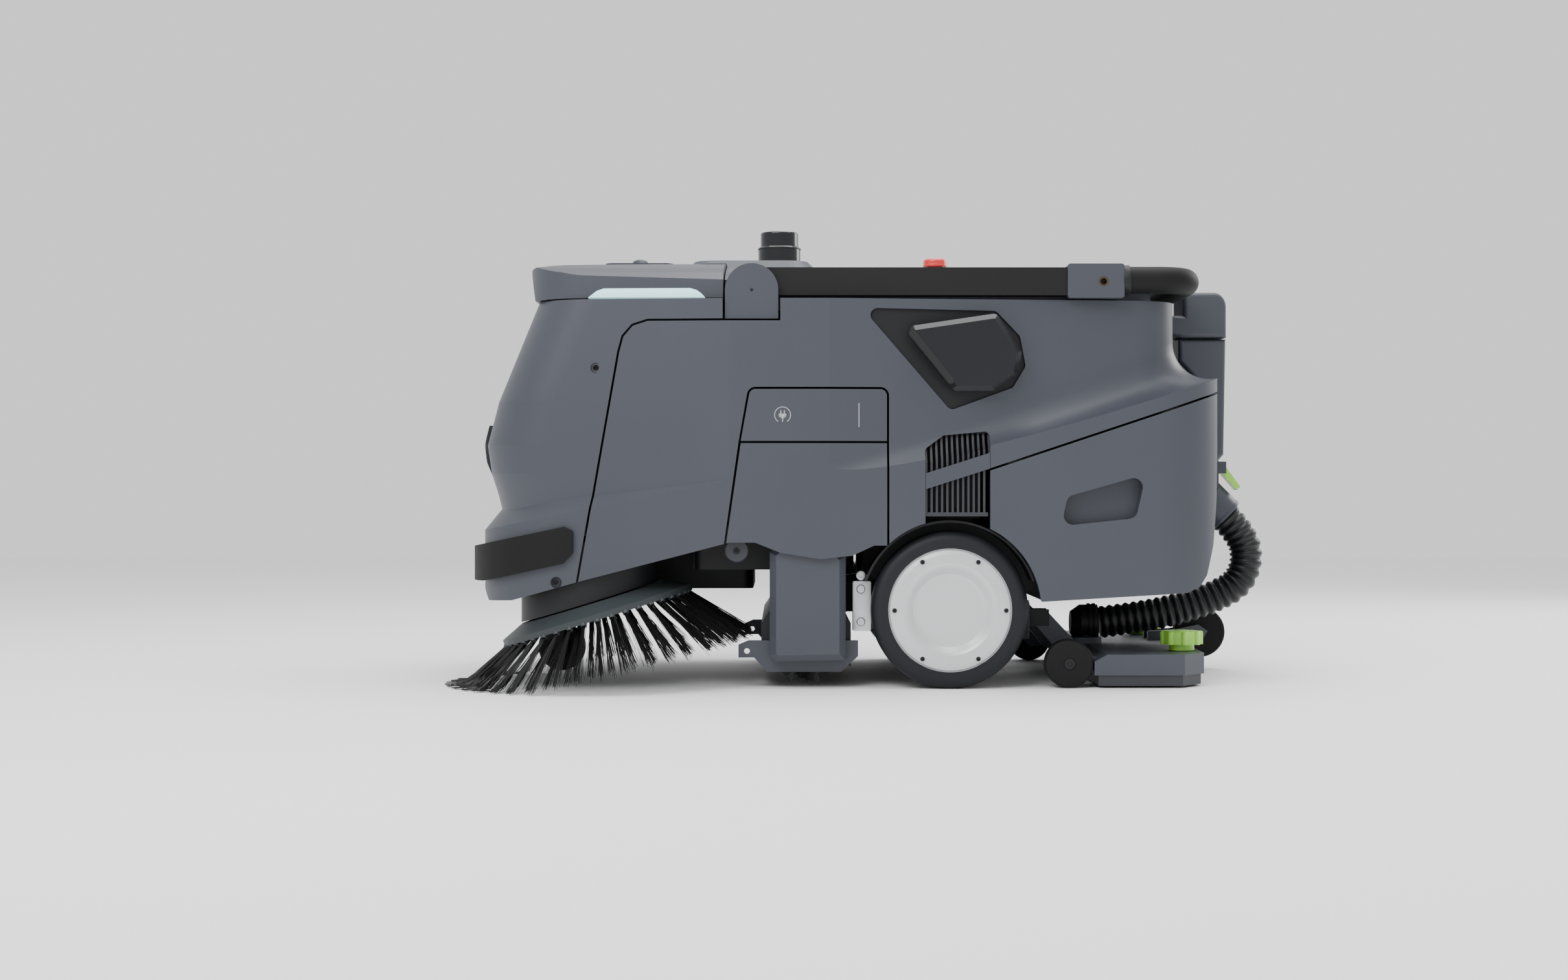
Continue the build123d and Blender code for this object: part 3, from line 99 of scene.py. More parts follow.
def finish_mesh(name, bm, smooth=35.0):
    """Turn a bmesh into an object with smooth shading up to the given angle."""
    bmesh.ops.recalc_face_normals(bm, faces=bm.faces)
    mesh = bpy.data.meshes.new(name)
    bm.to_mesh(mesh)
    bm.free()
    mesh.shade_smooth()
    mesh.set_sharp_from_angle(angle=math.radians(smooth))
    return new_object(name, mesh)


def build_floor():
    """Pale floor of the studio."""
    bm = bmesh.new()
    bmesh.ops.create_grid(bm, x_segments=1, y_segments=1, size=6.0)
    floor = finish_mesh("floor", bm)
    material = bpy.data.materials.new("floor")
    material.use_nodes = True
    shader = material.node_tree.nodes["Principled BSDF"]
    shader.inputs["Base Color"].default_value = (0.93, 0.93, 0.93, 1)
    shader.inputs["Roughness"].default_value = 0.65
    floor.data.materials.append(material)


def area_light(name, location, target, size, power):
    data = bpy.data.lights.new(name, "AREA")
    data.shape = "RECTANGLE"
    data.size, data.size_y = size
    data.energy = power
    light = bpy.data.objects.new(name, data)
    light.location = location
    light.rotation_euler = (Vector(target) - Vector(location)).to_track_quat("-Z", "Y").to_euler()
    bpy.context.scene.collection.objects.link(light)


def build_light():
    """Bright even surroundings, with three soft panels."""
    world = bpy.data.worlds.new("studio")
    world.use_nodes = True
    world.node_tree.nodes["Background"].inputs["Color"].default_value = (1.0, 1.0, 1.0, 1)
    world.node_tree.nodes["Background"].inputs["Strength"].default_value = 1.05
    bpy.context.scene.world = world
    area_light("key", (-1.2, -2.2, 2.3), (0.0, 0.0, 0.3), (2.2, 1.4), 70)
    area_light("top", (0.3, 0.2, 2.6), (0.0, 0.0, 0.4), (2.4, 2.0), 70)
    area_light("rim", (2.4, 1.6, 1.4), (0.2, 0.0, 0.3), (1.2, 1.2), 30)


# ---------------------------------------------------------------- materials


def base_material(name, color, roughness, noise_scale, bump, vary=0.12, metallic=0.0, coat=0.0,
                  specular=0.5):
    """Moulded or coated surface: grain bump, and a little change of tone and roughness over it."""
    material = bpy.data.materials.new(name)
    material.use_nodes = True
    tree = material.node_tree
    shader = tree.nodes["Principled BSDF"]
    shader.inputs["Metallic"].default_value = metallic
    shader.inputs["Coat Weight"].default_value = coat
    shader.inputs["Coat Roughness"].default_value = 0.08
    shader.inputs["Specular IOR Level"].default_value = specular
    place = tree.nodes.new("ShaderNodeTexCoord")

    grain = tree.nodes.new("ShaderNodeTexNoise")
    grain.inputs["Scale"].default_value = noise_scale
    grain.inputs["Detail"].default_value = 6.0
    tree.links.new(place.outputs["Object"], grain.inputs["Vector"])
    relief = tree.nodes.new("ShaderNodeBump")
    relief.inputs["Strength"].default_value = bump
    relief.inputs["Distance"].default_value = 0.0004
    tree.links.new(grain.outputs["Fac"], relief.inputs["Height"])
    tree.links.new(relief.outputs["Normal"], shader.inputs["Normal"])

    cloud = tree.nodes.new("ShaderNodeTexNoise")
    cloud.inputs["Scale"].default_value = 7.0
    cloud.inputs["Detail"].default_value = 4.0
    tree.links.new(place.outputs["Object"], cloud.inputs["Vector"])
    tone = tree.nodes.new("ShaderNodeValToRGB")
    tone.color_ramp.elements[0].position = 0.3
    tone.color_ramp.elements[1].position = 0.7
    tone.color_ramp.elements[0].color = [c * (1 - vary) for c in color] + [1]
    tone.color_ramp.elements[1].color = [min(1.0, c * (1 + vary)) for c in color] + [1]
    tree.links.new(cloud.outputs["Fac"], tone.inputs["Fac"])
    tree.links.new(tone.outputs["Color"], shader.inputs["Base Color"])
    gloss = tree.nodes.new("ShaderNodeMapRange")
    gloss.inputs["From Min"].default_value = 0.3
    gloss.inputs["From Max"].default_value = 0.7
    gloss.inputs["To Min"].default_value = roughness * 0.9
    gloss.inputs["To Max"].default_value = min(1.0, roughness * 1.12)
    tree.links.new(grain.outputs["Fac"], gloss.inputs["Value"])
    tree.links.new(gloss.outputs["Result"], shader.inputs["Roughness"])
    return material


# name: base colour, roughness, grain scale, grain depth
LOOK = {
    "body": base_material("body", (0.040, 0.045, 0.059), 0.42, 1900, 0.10, vary=0.035, specular=0.45),
    "panel": base_material("panel", (0.025, 0.027, 0.034), 0.45, 1600, 0.12, vary=0.05, specular=0.4),
    "dark": base_material("dark", (0.0075, 0.008, 0.0098), 0.50, 1400, 0.16, specular=0.3),
    "gloss_black": base_material(
        "gloss_black", (0.0055, 0.006, 0.009), 0.2, 300, 0.012, coat=0.25, specular=0.3),
    "rubber": base_material("rubber", (0.0070, 0.0070, 0.0072), 0.60, 1100, 0.22, specular=0.18),
    "tyre": base_material("tyre", (0.0065, 0.007, 0.0105), 0.55, 900, 0.2, specular=0.3),
    "hub": base_material("hub", (0.55, 0.56, 0.57), 0.32, 900, 0.03, vary=0.02, metallic=0.25),
    "alloy": base_material("alloy", (0.60, 0.61, 0.63), 0.34, 1500, 0.10, vary=0.04, metallic=0.45),
    "steel": base_material("steel", (0.0085, 0.009, 0.0105), 0.45, 1200, 0.18, specular=0.3),
    "bar": base_material("bar", (0.0050, 0.0050, 0.0052), 0.42, 1600, 0.14, specular=0.3),
    "lime": base_material("lime", (0.33, 0.72, 0.075), 0.40, 900, 0.08, vary=0.05),
    "red": base_material("red", (0.80, 0.035, 0.030), 0.28, 600, 0.03, vary=0.05, coat=0.3),
    "ring": base_material("ring", (0.028, 0.035, 0.038), 0.50, 1300, 0.14, vary=0.05, specular=0.4),
    "bristle": base_material("bristle", (0.0060, 0.0060, 0.0065), 0.36, 700, 0.05, vary=0.3),
    "roller": base_material("roller", (0.016, 0.017, 0.020), 0.45, 700, 0.05, vary=0.3),
    "hose": base_material("hose", (0.0065, 0.0070, 0.0082), 0.42, 1200, 0.12, specular=0.35),
    "brass": base_material("brass", (0.10, 0.07, 0.035), 0.35, 900, 0.08, metallic=0.8),
    "print": base_material("print", (0.36, 0.37, 0.39), 0.5, 900, 0.04, vary=0.02),
    "lens": base_material("lens", (0.002, 0.0025, 0.004), 0.10, 200, 0.004, coat=0.5, specular=0.4),
}


def light_guide():
    """Frosted light guide that glows a little unevenly."""
    material = base_material("light", (0.62, 0.90, 0.97), 0.3, 600, 0.03, vary=0.05)
    tree = material.node_tree
    shader = tree.nodes["Principled BSDF"]
    place = tree.nodes.new("ShaderNodeTexCoord")
    patches = tree.nodes.new("ShaderNodeTexNoise")
    patches.inputs["Scale"].default_value = 14.0
    tint = tree.nodes.new("ShaderNodeValToRGB")
    tint.color_ramp.elements[0].color = (0.30, 0.78, 0.90, 1)
    tint.color_ramp.elements[1].color = (0.72, 0.97, 1.0, 1)
    tree.links.new(place.outputs["Object"], patches.inputs["Vector"])
    tree.links.new(patches.outputs["Fac"], tint.inputs["Fac"])
    tree.links.new(tint.outputs["Color"], shader.inputs["Emission Color"])
    shader.inputs["Emission Strength"].default_value = 0.75
    return material


LOOK["light"] = light_guide()
SLOT_OF = {part["node"]: part["material_slot"] for part in frame["record"]["subparts"]}


def dress(obj, look):
    obj.data.materials.clear()
    obj.data.materials.append(LOOK[look])


def mount(obj, look, body):
    """Give a piece its look, and let it move with a body."""
    dress(obj, look)
    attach(obj, body)


# CAD nodes that get a small rounding on their edges, in millimetres
SOFTENED = {
    "bumper": 4.0, "deck_end_covers": 1.6, "head_shell": 1.6, "hinge_caps": 2.0,
    "handle_bars": 1.2, "handle_sleeves": 1.5, "knob_left": 1.0, "knob_right": 1.0,
    "charge_door": 0.8, "service_panels": 0.8, "front_cap": 2.0, "pod_housings": 2.5,
    "suction_duct": 1.5, "deck_side_plates": 1.0, "hose_connector": 1.0, "latch_lever": 1.0,
    "dust_bin": 1.0, "front_visor": 2.0,
}
# CAD nodes whose look differs from their record slot's
LOOK_OF = {
    "hose_connector": "body", "head_skirt": "panel", "vent_grilles": "panel", "axle_beam": "dark",
}


def dress_cad():
    """Give every CAD node its look, and round the edges that show."""
    for name, obj in nodes.items():
        dress(obj, LOOK_OF.get(name, SLOT_OF[name]))
        obj.data.shade_smooth()
        obj.data.set_sharp_from_angle(angle=math.radians(24))
        if name in SOFTENED:
            bevel = obj.modifiers.new("edges", "BEVEL")
            bevel.width = SOFTENED[name] * MM
            bevel.segments = 3
            bevel.limit_method = "ANGLE"
            bevel.angle_limit = math.radians(38)
            bevel.harden_normals = True


# ---------------------------------------------------------------- mesh helpers


def loft(bm, loops):
    """Close a tube through equal loops of vertices, with a face at each end."""
    for low, high in zip(loops, loops[1:]):
        for i in range(len(low)):
            j = (i + 1) % len(low)
            bm.faces.new((low[i], low[j], high[j], high[i]))
    bm.faces.new(loops[0][::-1])
    bm.faces.new(loops[-1])


def turned(name, profile, centre, axis, steps, smooth):
    """Solid of revolution: profile is (radius, distance along the axis) in millimetres."""
    axis = Vector(axis).normalized()
    turn = axis.to_track_quat("Z", "Y").to_matrix()
    bm = bmesh.new()
    rings = []
    for radius, along in profile:
        if radius < 1e-6:
            rings.append([bm.verts.new(Vector(centre) + turn @ Vector((0, 0, along * MM)))])
            continue
        rings.append([
            bm.verts.new(Vector(centre) + turn @ Vector((
                radius * MM * math.cos(2 * math.pi * i / steps),
                radius * MM * math.sin(2 * math.pi * i / steps), along * MM,
            )))
            for i in range(steps)
        ])
    for low, high in zip(rings, rings[1:]):
        for i in range(steps):
            j = (i + 1) % steps
            corners = dict.fromkeys((
                low[i % len(low)], low[j % len(low)], high[j % len(high)], high[i % len(high)],
            ))
            if len(corners) > 2:
                bm.faces.new(list(corners))
    return finish_mesh(name, bm, smooth)


def filament(bm, points, radius):
    """Thin three-sided tapered filament along a few points."""
    rings = []
    for index, point in enumerate(points):
        ahead = points[min(index + 1, len(points) - 1)] - points[max(index - 1, 0)]
        side = ahead.orthogonal().normalized()
        other = ahead.cross(side).normalized()
        r = radius * (1.0 - 0.35 * index / (len(points) - 1))
        rings.append([
            bm.verts.new(point + (side * math.cos(a) + other * math.sin(a)) * r)
            for a in (0.0, 2.0944, 4.1888)
        ])
    loft(bm, rings)


# ---------------------------------------------------------------- side brush

TUFTS = 42
TILT = math.radians(16.9)                  # of the ring
TIP_TILT = math.radians(12.7)              # of the plane of the tips
RING_CENTRE = at(-270, -203, 109)
RING_UP = Vector((-math.sin(TILT), 0, math.cos(TILT)))
RING_ALONG = Vector((math.cos(TILT), 0, math.sin(TILT)))
TIP_CENTRE = at(-262, -205, 26)
TIP_ALONG = Vector((math.cos(TIP_TILT), 0, math.sin(TIP_TILT)))
TIP_R = 221 * MM
FLOOR_GAP = 1.6 * MM


def on_ring(angle, radius, drop):
    """A point at an angle and radius about the brush's axis, below the ring's centre."""
    spoke = RING_ALONG * math.cos(angle) + ACROSS * math.sin(angle)
    return RING_CENTRE + spoke * radius - RING_UP * drop


def on_tips(angle, radius):
    """A point on the plane that the tips of the bristles end near."""
    return TIP_CENTRE + (TIP_ALONG * math.cos(angle) + ACROSS * math.sin(angle)) * radius


def build_side_brush():
    """Two rows of tufts under the ring, splayed out and bent where they meet the floor."""
    draw = random.Random(7)
    steps = 5
    bm = bmesh.new()
    # root radius in millimetres, reach, place between tufts, filaments in a tuft
    rows = ((132.0, 1.0, 0.0, 36), (116.0, 0.93, 0.5, 28))
    for root_r, reach, phase, count in rows:
        for tuft in range(TUFTS):
            angle = 2 * math.pi * (tuft + phase) / TUFTS
            lean = draw.gauss(0, 0.010)
            for _ in range(count):
                spin = draw.uniform(0, 2 * math.pi)
                spread = 2.9 * MM * math.sqrt(draw.random())
                root = on_ring(angle, root_r * MM, 13.0 * MM)
                root += RING_ALONG * spread * math.cos(spin) + ACROSS * spread * math.sin(spin)
                swing = angle + lean + draw.gauss(0, 0.017)
                tip = on_tips(swing, TIP_R * reach * (1 + min(draw.gauss(0, 0.019), 0.008)))
                tip.z += draw.gauss(0, 4.0) * MM
                points = []
                for step in range(steps + 1):
                    t = step / steps
                    point = root.lerp(tip, t)
                    point += (tip - root).cross(RING_UP).normalized() * draw.gauss(0, 0.25) * MM * t
                    if point.z < FLOOR_GAP:
                        sink = FLOOR_GAP - point.z
                        away = (tip - root) * Vector((1, 1, 0))
                        point += away.normalized() * sink * 0.12
                        point.z = FLOOR_GAP + draw.random() * 1.5 * MM
                    points.append(point)
                filament(bm, points, 0.5 * MM)
    brush = finish_mesh("side_brush_filaments", bm, 80)
    dress(brush, "bristle")
    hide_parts("side_bristles")
    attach(brush, "side_brush")


def build_tuft_holes():
    """Raised sockets that the outer tufts are stapled into."""
    bm = bmesh.new()
    for tuft in range(TUFTS):
        angle = 2 * math.pi * tuft / TUFTS
        spoke = RING_ALONG * math.cos(angle) + ACROSS * math.sin(angle)
        centre = on_ring(angle, 135 * MM, 13.5 * MM)
        along = (spoke * 0.55 - RING_UP).normalized()
        turn = along.to_track_quat("Z", "Y").to_matrix().to_4x4()
        bmesh.ops.create_cone(
            bm, cap_ends=True, segments=12, radius1=4.9 * MM, radius2=4.5 * MM, depth=9 * MM,
            matrix=Matrix.Translation(centre) @ turn,
        )
    mount(finish_mesh("side_brush_sockets", bm), "ring", "side_brush")


# ---------------------------------------------------------------- roller brush

ROLLER = at(32, 0, 58)
CORE_R, BRISTLE_R = 26, 54


def build_roller_brush():
    """Filaments in helical rows along the roller."""
    draw = random.Random(11)
    bm = bmesh.new()
    rows, places, half = 8, 110, 0.248
    for row in range(rows):
        for step in range(places):
            y = -half + 2 * half * step / (places - 1)
            angle = 2 * math.pi * row / rows + (abs(y) / half) * 1.1
            for _ in range(4):
                a = angle + draw.gauss(0, 0.05)
                foot = ROLLER + Vector((math.cos(a), 0, math.sin(a))) * CORE_R * MM
                foot += ACROSS * (y + draw.gauss(0, 1) * MM)
                b = a + draw.gauss(0, 0.03)
                reach = BRISTLE_R + draw.gauss(0, 0.3)
                end = ROLLER + Vector((math.cos(b), 0, math.sin(b))) * reach * MM
                end += ACROSS * (y + draw.gauss(0, 2) * MM)
                filament(bm, [foot, foot.lerp(end, 0.5), end], 0.5 * MM)
    brush = finish_mesh("roller_filaments", bm, 80)
    dress(brush, "roller")
    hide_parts("roller_bristles")
    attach(brush, "roller")


# ---------------------------------------------------------------- suction hose

HOSE_D = 49 * MM
HOSE_POINTS = [                     # the CAD tube's route, from the duct's cuff to the suction head
    (667.0, 238.0), (695.3, 209.7), (703.6, 170.6), (688.6, 133.5), (647.6, 112.6), (602.1, 97.4),
    (537.5, 83.7), (478.0, 76.4),
]
RIB_PITCH = 12.4 * MM


def hose_line():
    """Points along the hose's centre line, read from its NURBS spline."""
    curve = bpy.data.curves.new("hose_line", "CURVE")
    curve.dimensions = "3D"
    spline = curve.splines.new("NURBS")
    spline.points.add(len(HOSE_POINTS) - 1)
    for point, (x, z) in zip(spline.points, HOSE_POINTS):
        point.co = (*at(x, 0, z), 1)
    spline.order_u = 3
    spline.use_endpoint_u = True
    spline.resolution_u = 24
    holder = new_object("hose_line", curve)
    mesh = bpy.data.meshes.new_from_object(holder)
    points = [vertex.co.copy() for vertex in mesh.vertices]
    bpy.data.objects.remove(holder)
    return points


def evenly(points, count):
    """Points at equal distances along a line of points, and its length."""
    reach = [0.0]
    for a, b in zip(points, points[1:]):
        reach.append(reach[-1] + (b - a).length)
    result, index = [], 0
    for step in range(count + 1):
        goal = reach[-1] * step / count
        while index < len(points) - 2 and reach[index + 1] < goal:
            index += 1
        part = (goal - reach[index]) / (reach[index + 1] - reach[index])
        result.append(points[index].lerp(points[index + 1], part))
    return result, reach[-1]


def build_hose():
    """Corrugated hose: round ribs with narrow valleys, along the CAD tube's route."""
    line = hose_line()
    length = evenly(line, 10)[1]
    ribs = round(length / RIB_PITCH)
    steps_per_rib, sides = 10, 48
    path, length = evenly(line, ribs * steps_per_rib)
    bm = bmesh.new()
    rings = []
    for index, point in enumerate(path):
        ahead = path[min(index + 1, len(path) - 1)] - path[max(index - 1, 0)]
        ahead.normalize()
        up = ahead.cross(ACROSS).normalized()
        wave = 0.5 - 0.5 * math.cos(2 * math.pi * index / steps_per_rib)
        radius = HOSE_D / 2 - 3.4 * MM * (1 - wave ** 0.7)
        rings.append([
            bm.verts.new(point + (up * math.cos(a) + ACROSS * math.sin(a)) * radius)
            for a in (2 * math.pi * i / sides for i in range(sides))
        ])
    loft(bm, rings)
    hose = finish_mesh("hose", bm, 60)
    dress(hose, "hose")
    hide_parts("suction_hose")
    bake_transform(hose)


# ---------------------------------------------------------------- small fittings


def screw(name, centre, axis, radius, body, look="alloy", height=2.4):
    """Domed cap screw with a round socket."""
    dome = turned(name, (
        (0.0, 0.0), (radius, 0.0), (radius, height * 0.55), (radius * 0.86, height * 0.9),
        (radius * 0.62, height), (radius * 0.50, height), (radius * 0.46, height * 0.35),
        (0.0, height * 0.3),
    ), centre, axis, 24, 30)
    mount(dome, look, body)


def rounded_plate(name, centre, size, corner, thickness, out, body, look):
    """Flat plate in the side view, with rounded corners and a softened outer edge."""
    half_x, half_z = size[0] / 2, size[1] / 2
    outline = []
    for sx, sz, start in ((1, 1, 0), (-1, 1, 90), (-1, -1, 180), (1, -1, 270)):
        for step in range(7):
            a = math.radians(start + step * 15)
            x = sx * (half_x - corner) + corner * math.cos(a)
            z = sz * (half_z - corner) + corner * math.sin(a)
            outline.append((x, z))
    bm = bmesh.new()
    loops = []
    for depth, shrink in ((0.0, 1.0), (thickness * 0.75, 1.0), (thickness, 1.0 - 0.9 / size[0])):
        loops.append([
            bm.verts.new(centre + Vector((x * shrink, 0, z * shrink)) * MM + ACROSS * out * depth * MM)
            for x, z in outline
        ])
    loft(bm, loops)
    mount(finish_mesh(name, bm), look, body)


HUB_SCREWS, HUB_SCREW_R = 6, 77.5


def outer_face(node, side):
    """How far a CAD node reaches to the given side."""
    low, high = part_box(node)
    return low[1] if side < 0 else high[1]


def build_wheel_details():
    """Screws and washers on the hub covers, beads on the rims, and plates on the wheel brackets."""
    for side, name in SIDES:
        low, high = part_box(f"hub_cover_{name}")
        hub = Vector(((low[0] + high[0]) / 2, 0, (low[2] + high[2]) / 2))
        face = Vector((0, side, 0))
        for turn in range(HUB_SCREWS):
            angle = 2 * math.pi * turn / HUB_SCREWS
            spot = hub + Vector((math.cos(angle), 0, math.sin(angle))) * HUB_SCREW_R * MM
            spot.y = outer_face(f"hub_cover_{name}", side) - side * 2.2 * MM
            screw(
                f"hub_screw_{name}_{turn}", spot, face, 3.2, f"wheel_{name}", look="steel", height=3.4,
            )
            ring = turned(f"hub_washer_{name}_{turn}", (
                (3.3, 0.0), (4.6, 0.0), (4.9, 1.6), (4.4, 2.1), (3.4, 2.0), (3.3, 0.0),
            ), spot, face, 28, 30)
            mount(ring, "alloy", f"wheel_{name}")
        rim = Vector((hub.x, outer_face(f"tyre_{name}", side) - side * 5.0 * MM, hub.z))
        bead = turned(f"rim_bead_{name}", (
            (85.2, 0.0), (87.6, 0.0), (88.0, 3.0), (86.6, 4.4), (85.2, 3.6), (85.2, 0.0),
        ), rim, face, 96, 40)
        mount(bead, "alloy", f"wheel_{name}")
        rounded_plate(
            f"wheel_bracket_plate_{name}", at(109.5, side * 262.1, 114), (26.0, 70.0), 3.0, 2.2,
            side, "chassis", "alloy",
        )


SEAM_SHADE_DEPTHS = (230.0, 232.0)       # faces of the dark sheets that paint the seams' shade, from the centre plane
LUG_X, LUG_Z = -66, 193


def build_underbody():
    """Lugs under the side covers, and dark sheets behind the covers' seams as painted shade for the
    gaps.
    """
    for side, name in SIDES:
        out = Vector((0, side, 0))
        lug = turned(f"cover_lug_{name}", (
            (3.4, -9.0), (15.0, -9.0), (16.5, -7.5), (16.5, -1.2), (15.2, 0.0), (5.4, 0.0), (4.8, -2.4),
            (3.4, -2.4), (3.4, -9.0),
        ), at(LUG_X, side * 296, LUG_Z), out, 40, 30)
        mount(lug, "panel", "chassis")
        screw(
            f"lug_screw_{name}", at(LUG_X, side * 291, LUG_Z), out, 3.4, "chassis",
            look="dark",
        )
        # painted shade: a dark sheet behind each cover seam stands in for the shade inside the gap
        outline = ((-300, 236), (278, 236), (278, 300), (278, 528), (-225, 528), (-300, 420))
        bm = bmesh.new()
        loft(bm, [
            [bm.verts.new(at(x, side * depth, z)) for x, z in outline] for depth in SEAM_SHADE_DEPTHS
        ])
        mount(finish_mesh(f"seam_shade_sheet_{name}", bm), "dark", "chassis")


def build_nose_screws():
    """Recessed screws in the nose, with a dark countersunk cup."""
    for side, name in SIDES:
        for index, (x, y, z) in enumerate(((-262, 292, 447), (-316, 309, 149))):
            centre = at(x, side * y, z)
            cup = turned(f"nose_screw_{name}_{index}", (
                (0.0, -5.0), (2.6, -5.0), (2.8, -2.6), (4.4, -2.4), (5.2, 1.2), (6.6, 2.4), (7.4, 2.2),
                (7.6, 0.0), (4.6, -6.0), (0.0, -6.2),
            ), centre, (0, side, 0), 32, 35)
            mount(cup, "dark", "chassis")


BOLT_X = 108                        # bolts of the wheel brackets


def build_bracket_bolts():
    """Two bolts and an adjusting cap on each wheel bracket."""
    for side, name in SIDES:
        out = Vector((0, side, 0))
        for index, z in enumerate((92, 138)):
            screw(
                f"bracket_bolt_{name}_{index}", at(BOLT_X, side * 265.8, z), out, 5.6, "chassis",
                height=3.6,
            )
        screw(f"bracket_bolt_{name}_2", at(BOLT_X, side * 262, 157), out, 7.0, "chassis", height=5.0)


def strip(bm, centre, along, up, out, length, width, height):
    """Raised bar for a printed line."""
    corners = [
        centre + along * (sx * length / 2) + up * (sy * width / 2) + out * (sz * height)
        for sz in (0, 1) for sy in (-1, 1) for sx in (-1, 1)
    ]
    verts = [bm.verts.new(corner) for corner in corners]
    for quad in ((0, 1, 3, 2), (4, 6, 7, 5), (0, 4, 5, 1), (2, 3, 7, 6), (0, 2, 6, 4), (1, 5, 7, 3)):
        bm.faces.new([verts[i] for i in quad])


def arc(bm, centre, radius, start, end, width, out, steps=28):
    """Printed arc, from one angle in degrees to another, made of short bars."""
    for step in range(steps):
        a = math.radians(start + (end - start) * (step + 0.5) / steps)
        spoke = Vector((math.cos(a), 0, math.sin(a)))
        tangent = Vector((-math.sin(a), 0, math.cos(a)))
        strip(bm, centre + spoke * radius, tangent, spoke, out,
              radius * math.radians(abs(end - start)) / steps * 1.1, width, 0.25 * MM)


def build_door_marks():
    """Generic plug mark in a ring, and a plain line beside the push latch."""
    bm = bmesh.new()
    mark = at(-2, -310.05, 381)
    out = LEFT
    arc(bm, mark, 11.0 * MM, -55, 235, 1.1 * MM, out)
    arc(bm, mark + UP * 0.5 * MM, 4.6 * MM, 180, 360, 1.4 * MM, out, 12)
    right = Vector((1, 0, 0))
    strip(bm, mark + UP * 1.0 * MM, right, UP, out, 10.4 * MM, 1.6 * MM, 0.25 * MM)
    strip(bm, mark - UP * 1.6 * MM, right, UP, out, 6.4 * MM, 4.0 * MM, 0.25 * MM)
    for x in (-2.4, 2.4):
        strip(bm, mark + right * x * MM + UP * 4.0 * MM, UP, right, out, 5.0 * MM, 1.3 * MM, 0.25 * MM)
    strip(bm, mark - UP * 7.2 * MM, UP, right, out, 4.6 * MM, 1.3 * MM, 0.25 * MM)
    mount(finish_mesh("door_plug_mark", bm), "print", "door")

    bm = bmesh.new()
    strip(bm, at(104, -305.0, 381), UP, right, out, 33 * MM, 1.2 * MM, 0.9 * MM)
    mount(finish_mesh("door_latch_line", bm), "print", "door")


def build_sensors():
    """Groove and foot of the laser scanner, and the lenses on the plinth and on the front visor."""
    low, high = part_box("lidar")
    x, y = (low[0] + high[0]) / 2, (low[1] + high[1]) / 2
    band = turned("lidar_groove", (
        (31.0, -1.2), (32.6, -1.2), (32.6, 0.4), (31.0, 1.4), (29.2, 1.4), (29.2, -1.2), (31.0, -1.2),
    ), Vector((x, y, low[2] + 24 * MM)), UP, 64, 30)
    mount(band, "dark", "chassis")
    foot = turned("lidar_foot", (
        (32.0, 0.0), (36.5, 0.0), (36.5, 2.0), (35.0, 3.2), (32.2, 3.6), (32.0, 0.0),
    ), Vector((x, y, low[2] + 0.05 * MM)), UP, 64, 30)
    mount(foot, "dark", "chassis")
    dome = turned("top_camera_lens", (
        (0.0, 2.6), (4.0, 2.3), (7.0, 1.3), (9.0, 0.0), (9.6, -0.8), (0.0, -0.8),
    ), at(-218, 0, 624.0), UP, 40, 40)
    mount(dome, "lens", "chassis")
    for index, (x, z, lean) in enumerate(((-441.8, 335.5, 9.1), (-428.8, 294.5, 23.4))):
        lean = math.radians(lean)
        lens = turned(f"front_lens_{index}", (
            (0.0, 1.8), (6.0, 1.5), (10.0, 0.4), (12.5, 0.3), (13.5, -0.6), (13.5, -5.0), (0.0, -5.0),
        ), at(x, 0, z), (-math.cos(lean), 0, -math.sin(lean)), 48, 40)
        mount(lens, "lens", "chassis")


def build_estop_skirt():
    """Rim around the emergency stop's button."""
    low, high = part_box("estop_button")
    centre = Vector(((low[0] + high[0]) / 2, (low[1] + high[1]) / 2, low[2] + 37.0 * MM))
    skirt = turned("estop_skirt", (
        (13.0, -1.6), (17.9, -1.6), (18.2, -0.6), (17.8, 1.8), (17.2, 2.0), (17.0, -0.4), (13.0, -0.6),
        (13.0, -1.6),
    ), centre, UP, 48, 30)
    mount(skirt, "red", "estop")


def build_handle_details():
    """Inserts in the sleeves' holes, pin caps on the hinges, and collars on the grip."""
    for side, name in SIDES:
        insert = turned(f"sleeve_insert_{name}", (
            (4.6, 0.0), (6.9, 0.0), (6.9, -12.0), (5.6, -12.0), (4.2, -11.0), (4.2, -0.8), (4.6, 0.0),
        ), at(446, side * 287.2, 568), (0, side, 0), 32, 30)
        mount(insert, "brass", "handle")
        pin = turned(f"hinge_pin_cap_{name}", (
            (0.0, 0.9), (1.6, 0.8), (2.2, 0.3), (2.4, -0.6), (0.0, -0.6),
        ), at(-45, side * 303.0, 555), (0, side, 0), 24, 30)
        mount(pin, "dark", "chassis")
        collar = turned(f"grip_collar_{name}", (
            (19.0, 0.0), (20.6, 0.0), (21.0, 1.0), (21.0, 8.0), (20.4, 9.0), (19.0, 9.4), (19.0, 0.0),
        ), at(475.2, side * 270, 571), (1, 0, 0), 48, 30)
        mount(collar, "dark", "handle")


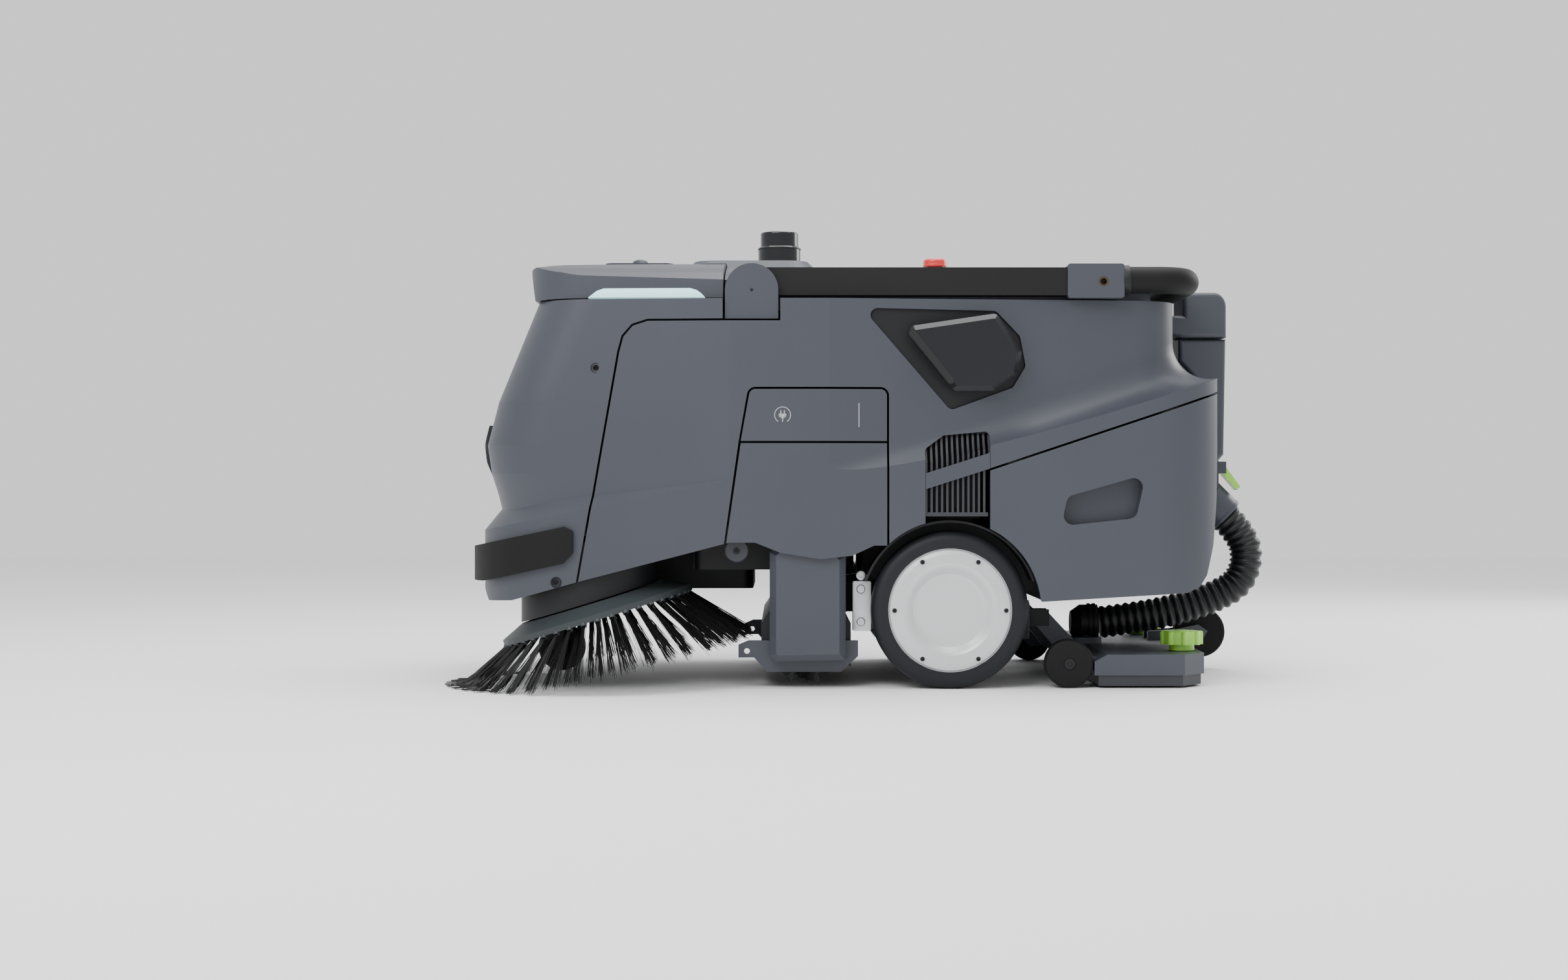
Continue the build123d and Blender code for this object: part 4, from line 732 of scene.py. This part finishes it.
def build_head_details():
    """Caps on the suction head's rollers and on its height knobs."""
    for side, name in SIDES:
        low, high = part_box(f"head_roller_{name}")
        centre = Vector((
            (low[0] + high[0]) / 2, outer_face(f"head_roller_{name}", side), (low[2] + high[2]) / 2,
        ))
        cap = turned(f"head_roller_cap_{name}", (
            (0.0, 0.6), (3.2, 0.6), (3.6, 1.8), (7.2, 1.8), (8.0, 0.8), (8.2, -0.5), (0.0, -0.5),
        ), centre, (0, side, 0), 32, 30)
        mount(cap, "dark", f"head_wheel_{name}")
        low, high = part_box(f"knob_{name}")
        top = Vector(((low[0] + high[0]) / 2, (low[1] + high[1]) / 2, high[2]))
        disc = turned(f"knob_cap_{name}", (
            (0.0, 1.3), (8.0, 1.2), (10.0, 0.6), (10.6, -0.4), (0.0, -0.4),
        ), top, UP, 40, 30)
        mount(disc, "lime", f"knob_{name[0]}")


def build_hose_fittings():
    """Thin lip on the cuff's end, and the ribbed nut at the suction head."""
    axis = Vector((1, 0, -1)).normalized()
    lip = turned("cuff_lip", (
        (25.6, 0.0), (25.6, 1.6), (29.4, 2.2), (30.6, 1.4), (30.8, -1.0), (30.2, -4.0), (29.0, -4.0),
        (29.0, 0.0), (25.6, 0.0),
    ), at(667, 0, 238), axis, 56, 30)
    mount(lip, "body", "chassis")
    nut = turned("elbow_nut", (
        (27.2, 0.0), (29.0, 0.6), (29.0, 4.4), (27.6, 5.4), (27.6, 7.4), (29.0, 8.4), (29.0, 12.4),
        (27.2, 13.2), (26.0, 13.2), (26.0, 0.0), (27.2, 0.0),
    ), at(459, 0, 76.4), (1, 0, 0), 56, 30)
    mount(nut, "dark", "head")


def build_latch_ribs():
    """Ribs between the suction duct and the rear panel, on a backing plate."""
    bm = bmesh.new()
    ahead = Vector((-1, 0, 0))
    for rib in range(9):
        strip(bm, at(604, 0, 506 + rib * 6.4), ACROSS, UP, ahead, 70 * MM, 3.2 * MM, 5 * MM)
    strip(bm, at(606, 0, 531), UP, ACROSS, ahead, 58 * MM, 66 * MM, 4 * MM)
    mount(finish_mesh("duct_latch_ribs", bm), "dark", "chassis")


POD_FACE = 314.0                    # outer face of the camera pods


def build_pod_windows():
    """Long dark window with a raised rim along the front edge of each side camera pod."""
    start, end = Vector((178.0, 0, 494.0)), Vector((231.0, 0, 429.0))
    along = (end - start).normalized()
    beside = Vector((along.z, 0, -along.x))
    for side, name in SIDES:
        for part, radius, rise, look in (
            ("rim", 5.6, 0.7, "gloss_black"), ("glass", 4.2, 1.0, "lens"),
        ):
            outline = []
            for centre, turn in ((end, -90), (start, 90)):
                for step in range(13):
                    a = math.radians(turn + step * 15)
                    outline.append(centre + (along * math.cos(a) + beside * math.sin(a)) * radius)
            bm = bmesh.new()
            loft(bm, [
                [bm.verts.new(at(p.x, side * (POD_FACE + depth), p.z)) for p in outline]
                for depth in (-0.8, rise)
            ])
            mount(finish_mesh(f"pod_{part}_{name}", bm, 30), look, "chassis")


build_floor()
build_light()
dress_cad()
build_side_brush()
build_tuft_holes()
build_roller_brush()
build_hose()
build_wheel_details()
build_underbody()
build_nose_screws()
build_bracket_bolts()
build_door_marks()
build_sensors()
build_estop_skirt()
build_handle_details()
build_head_details()
build_hose_fittings()
build_latch_ribs()
build_pod_windows()
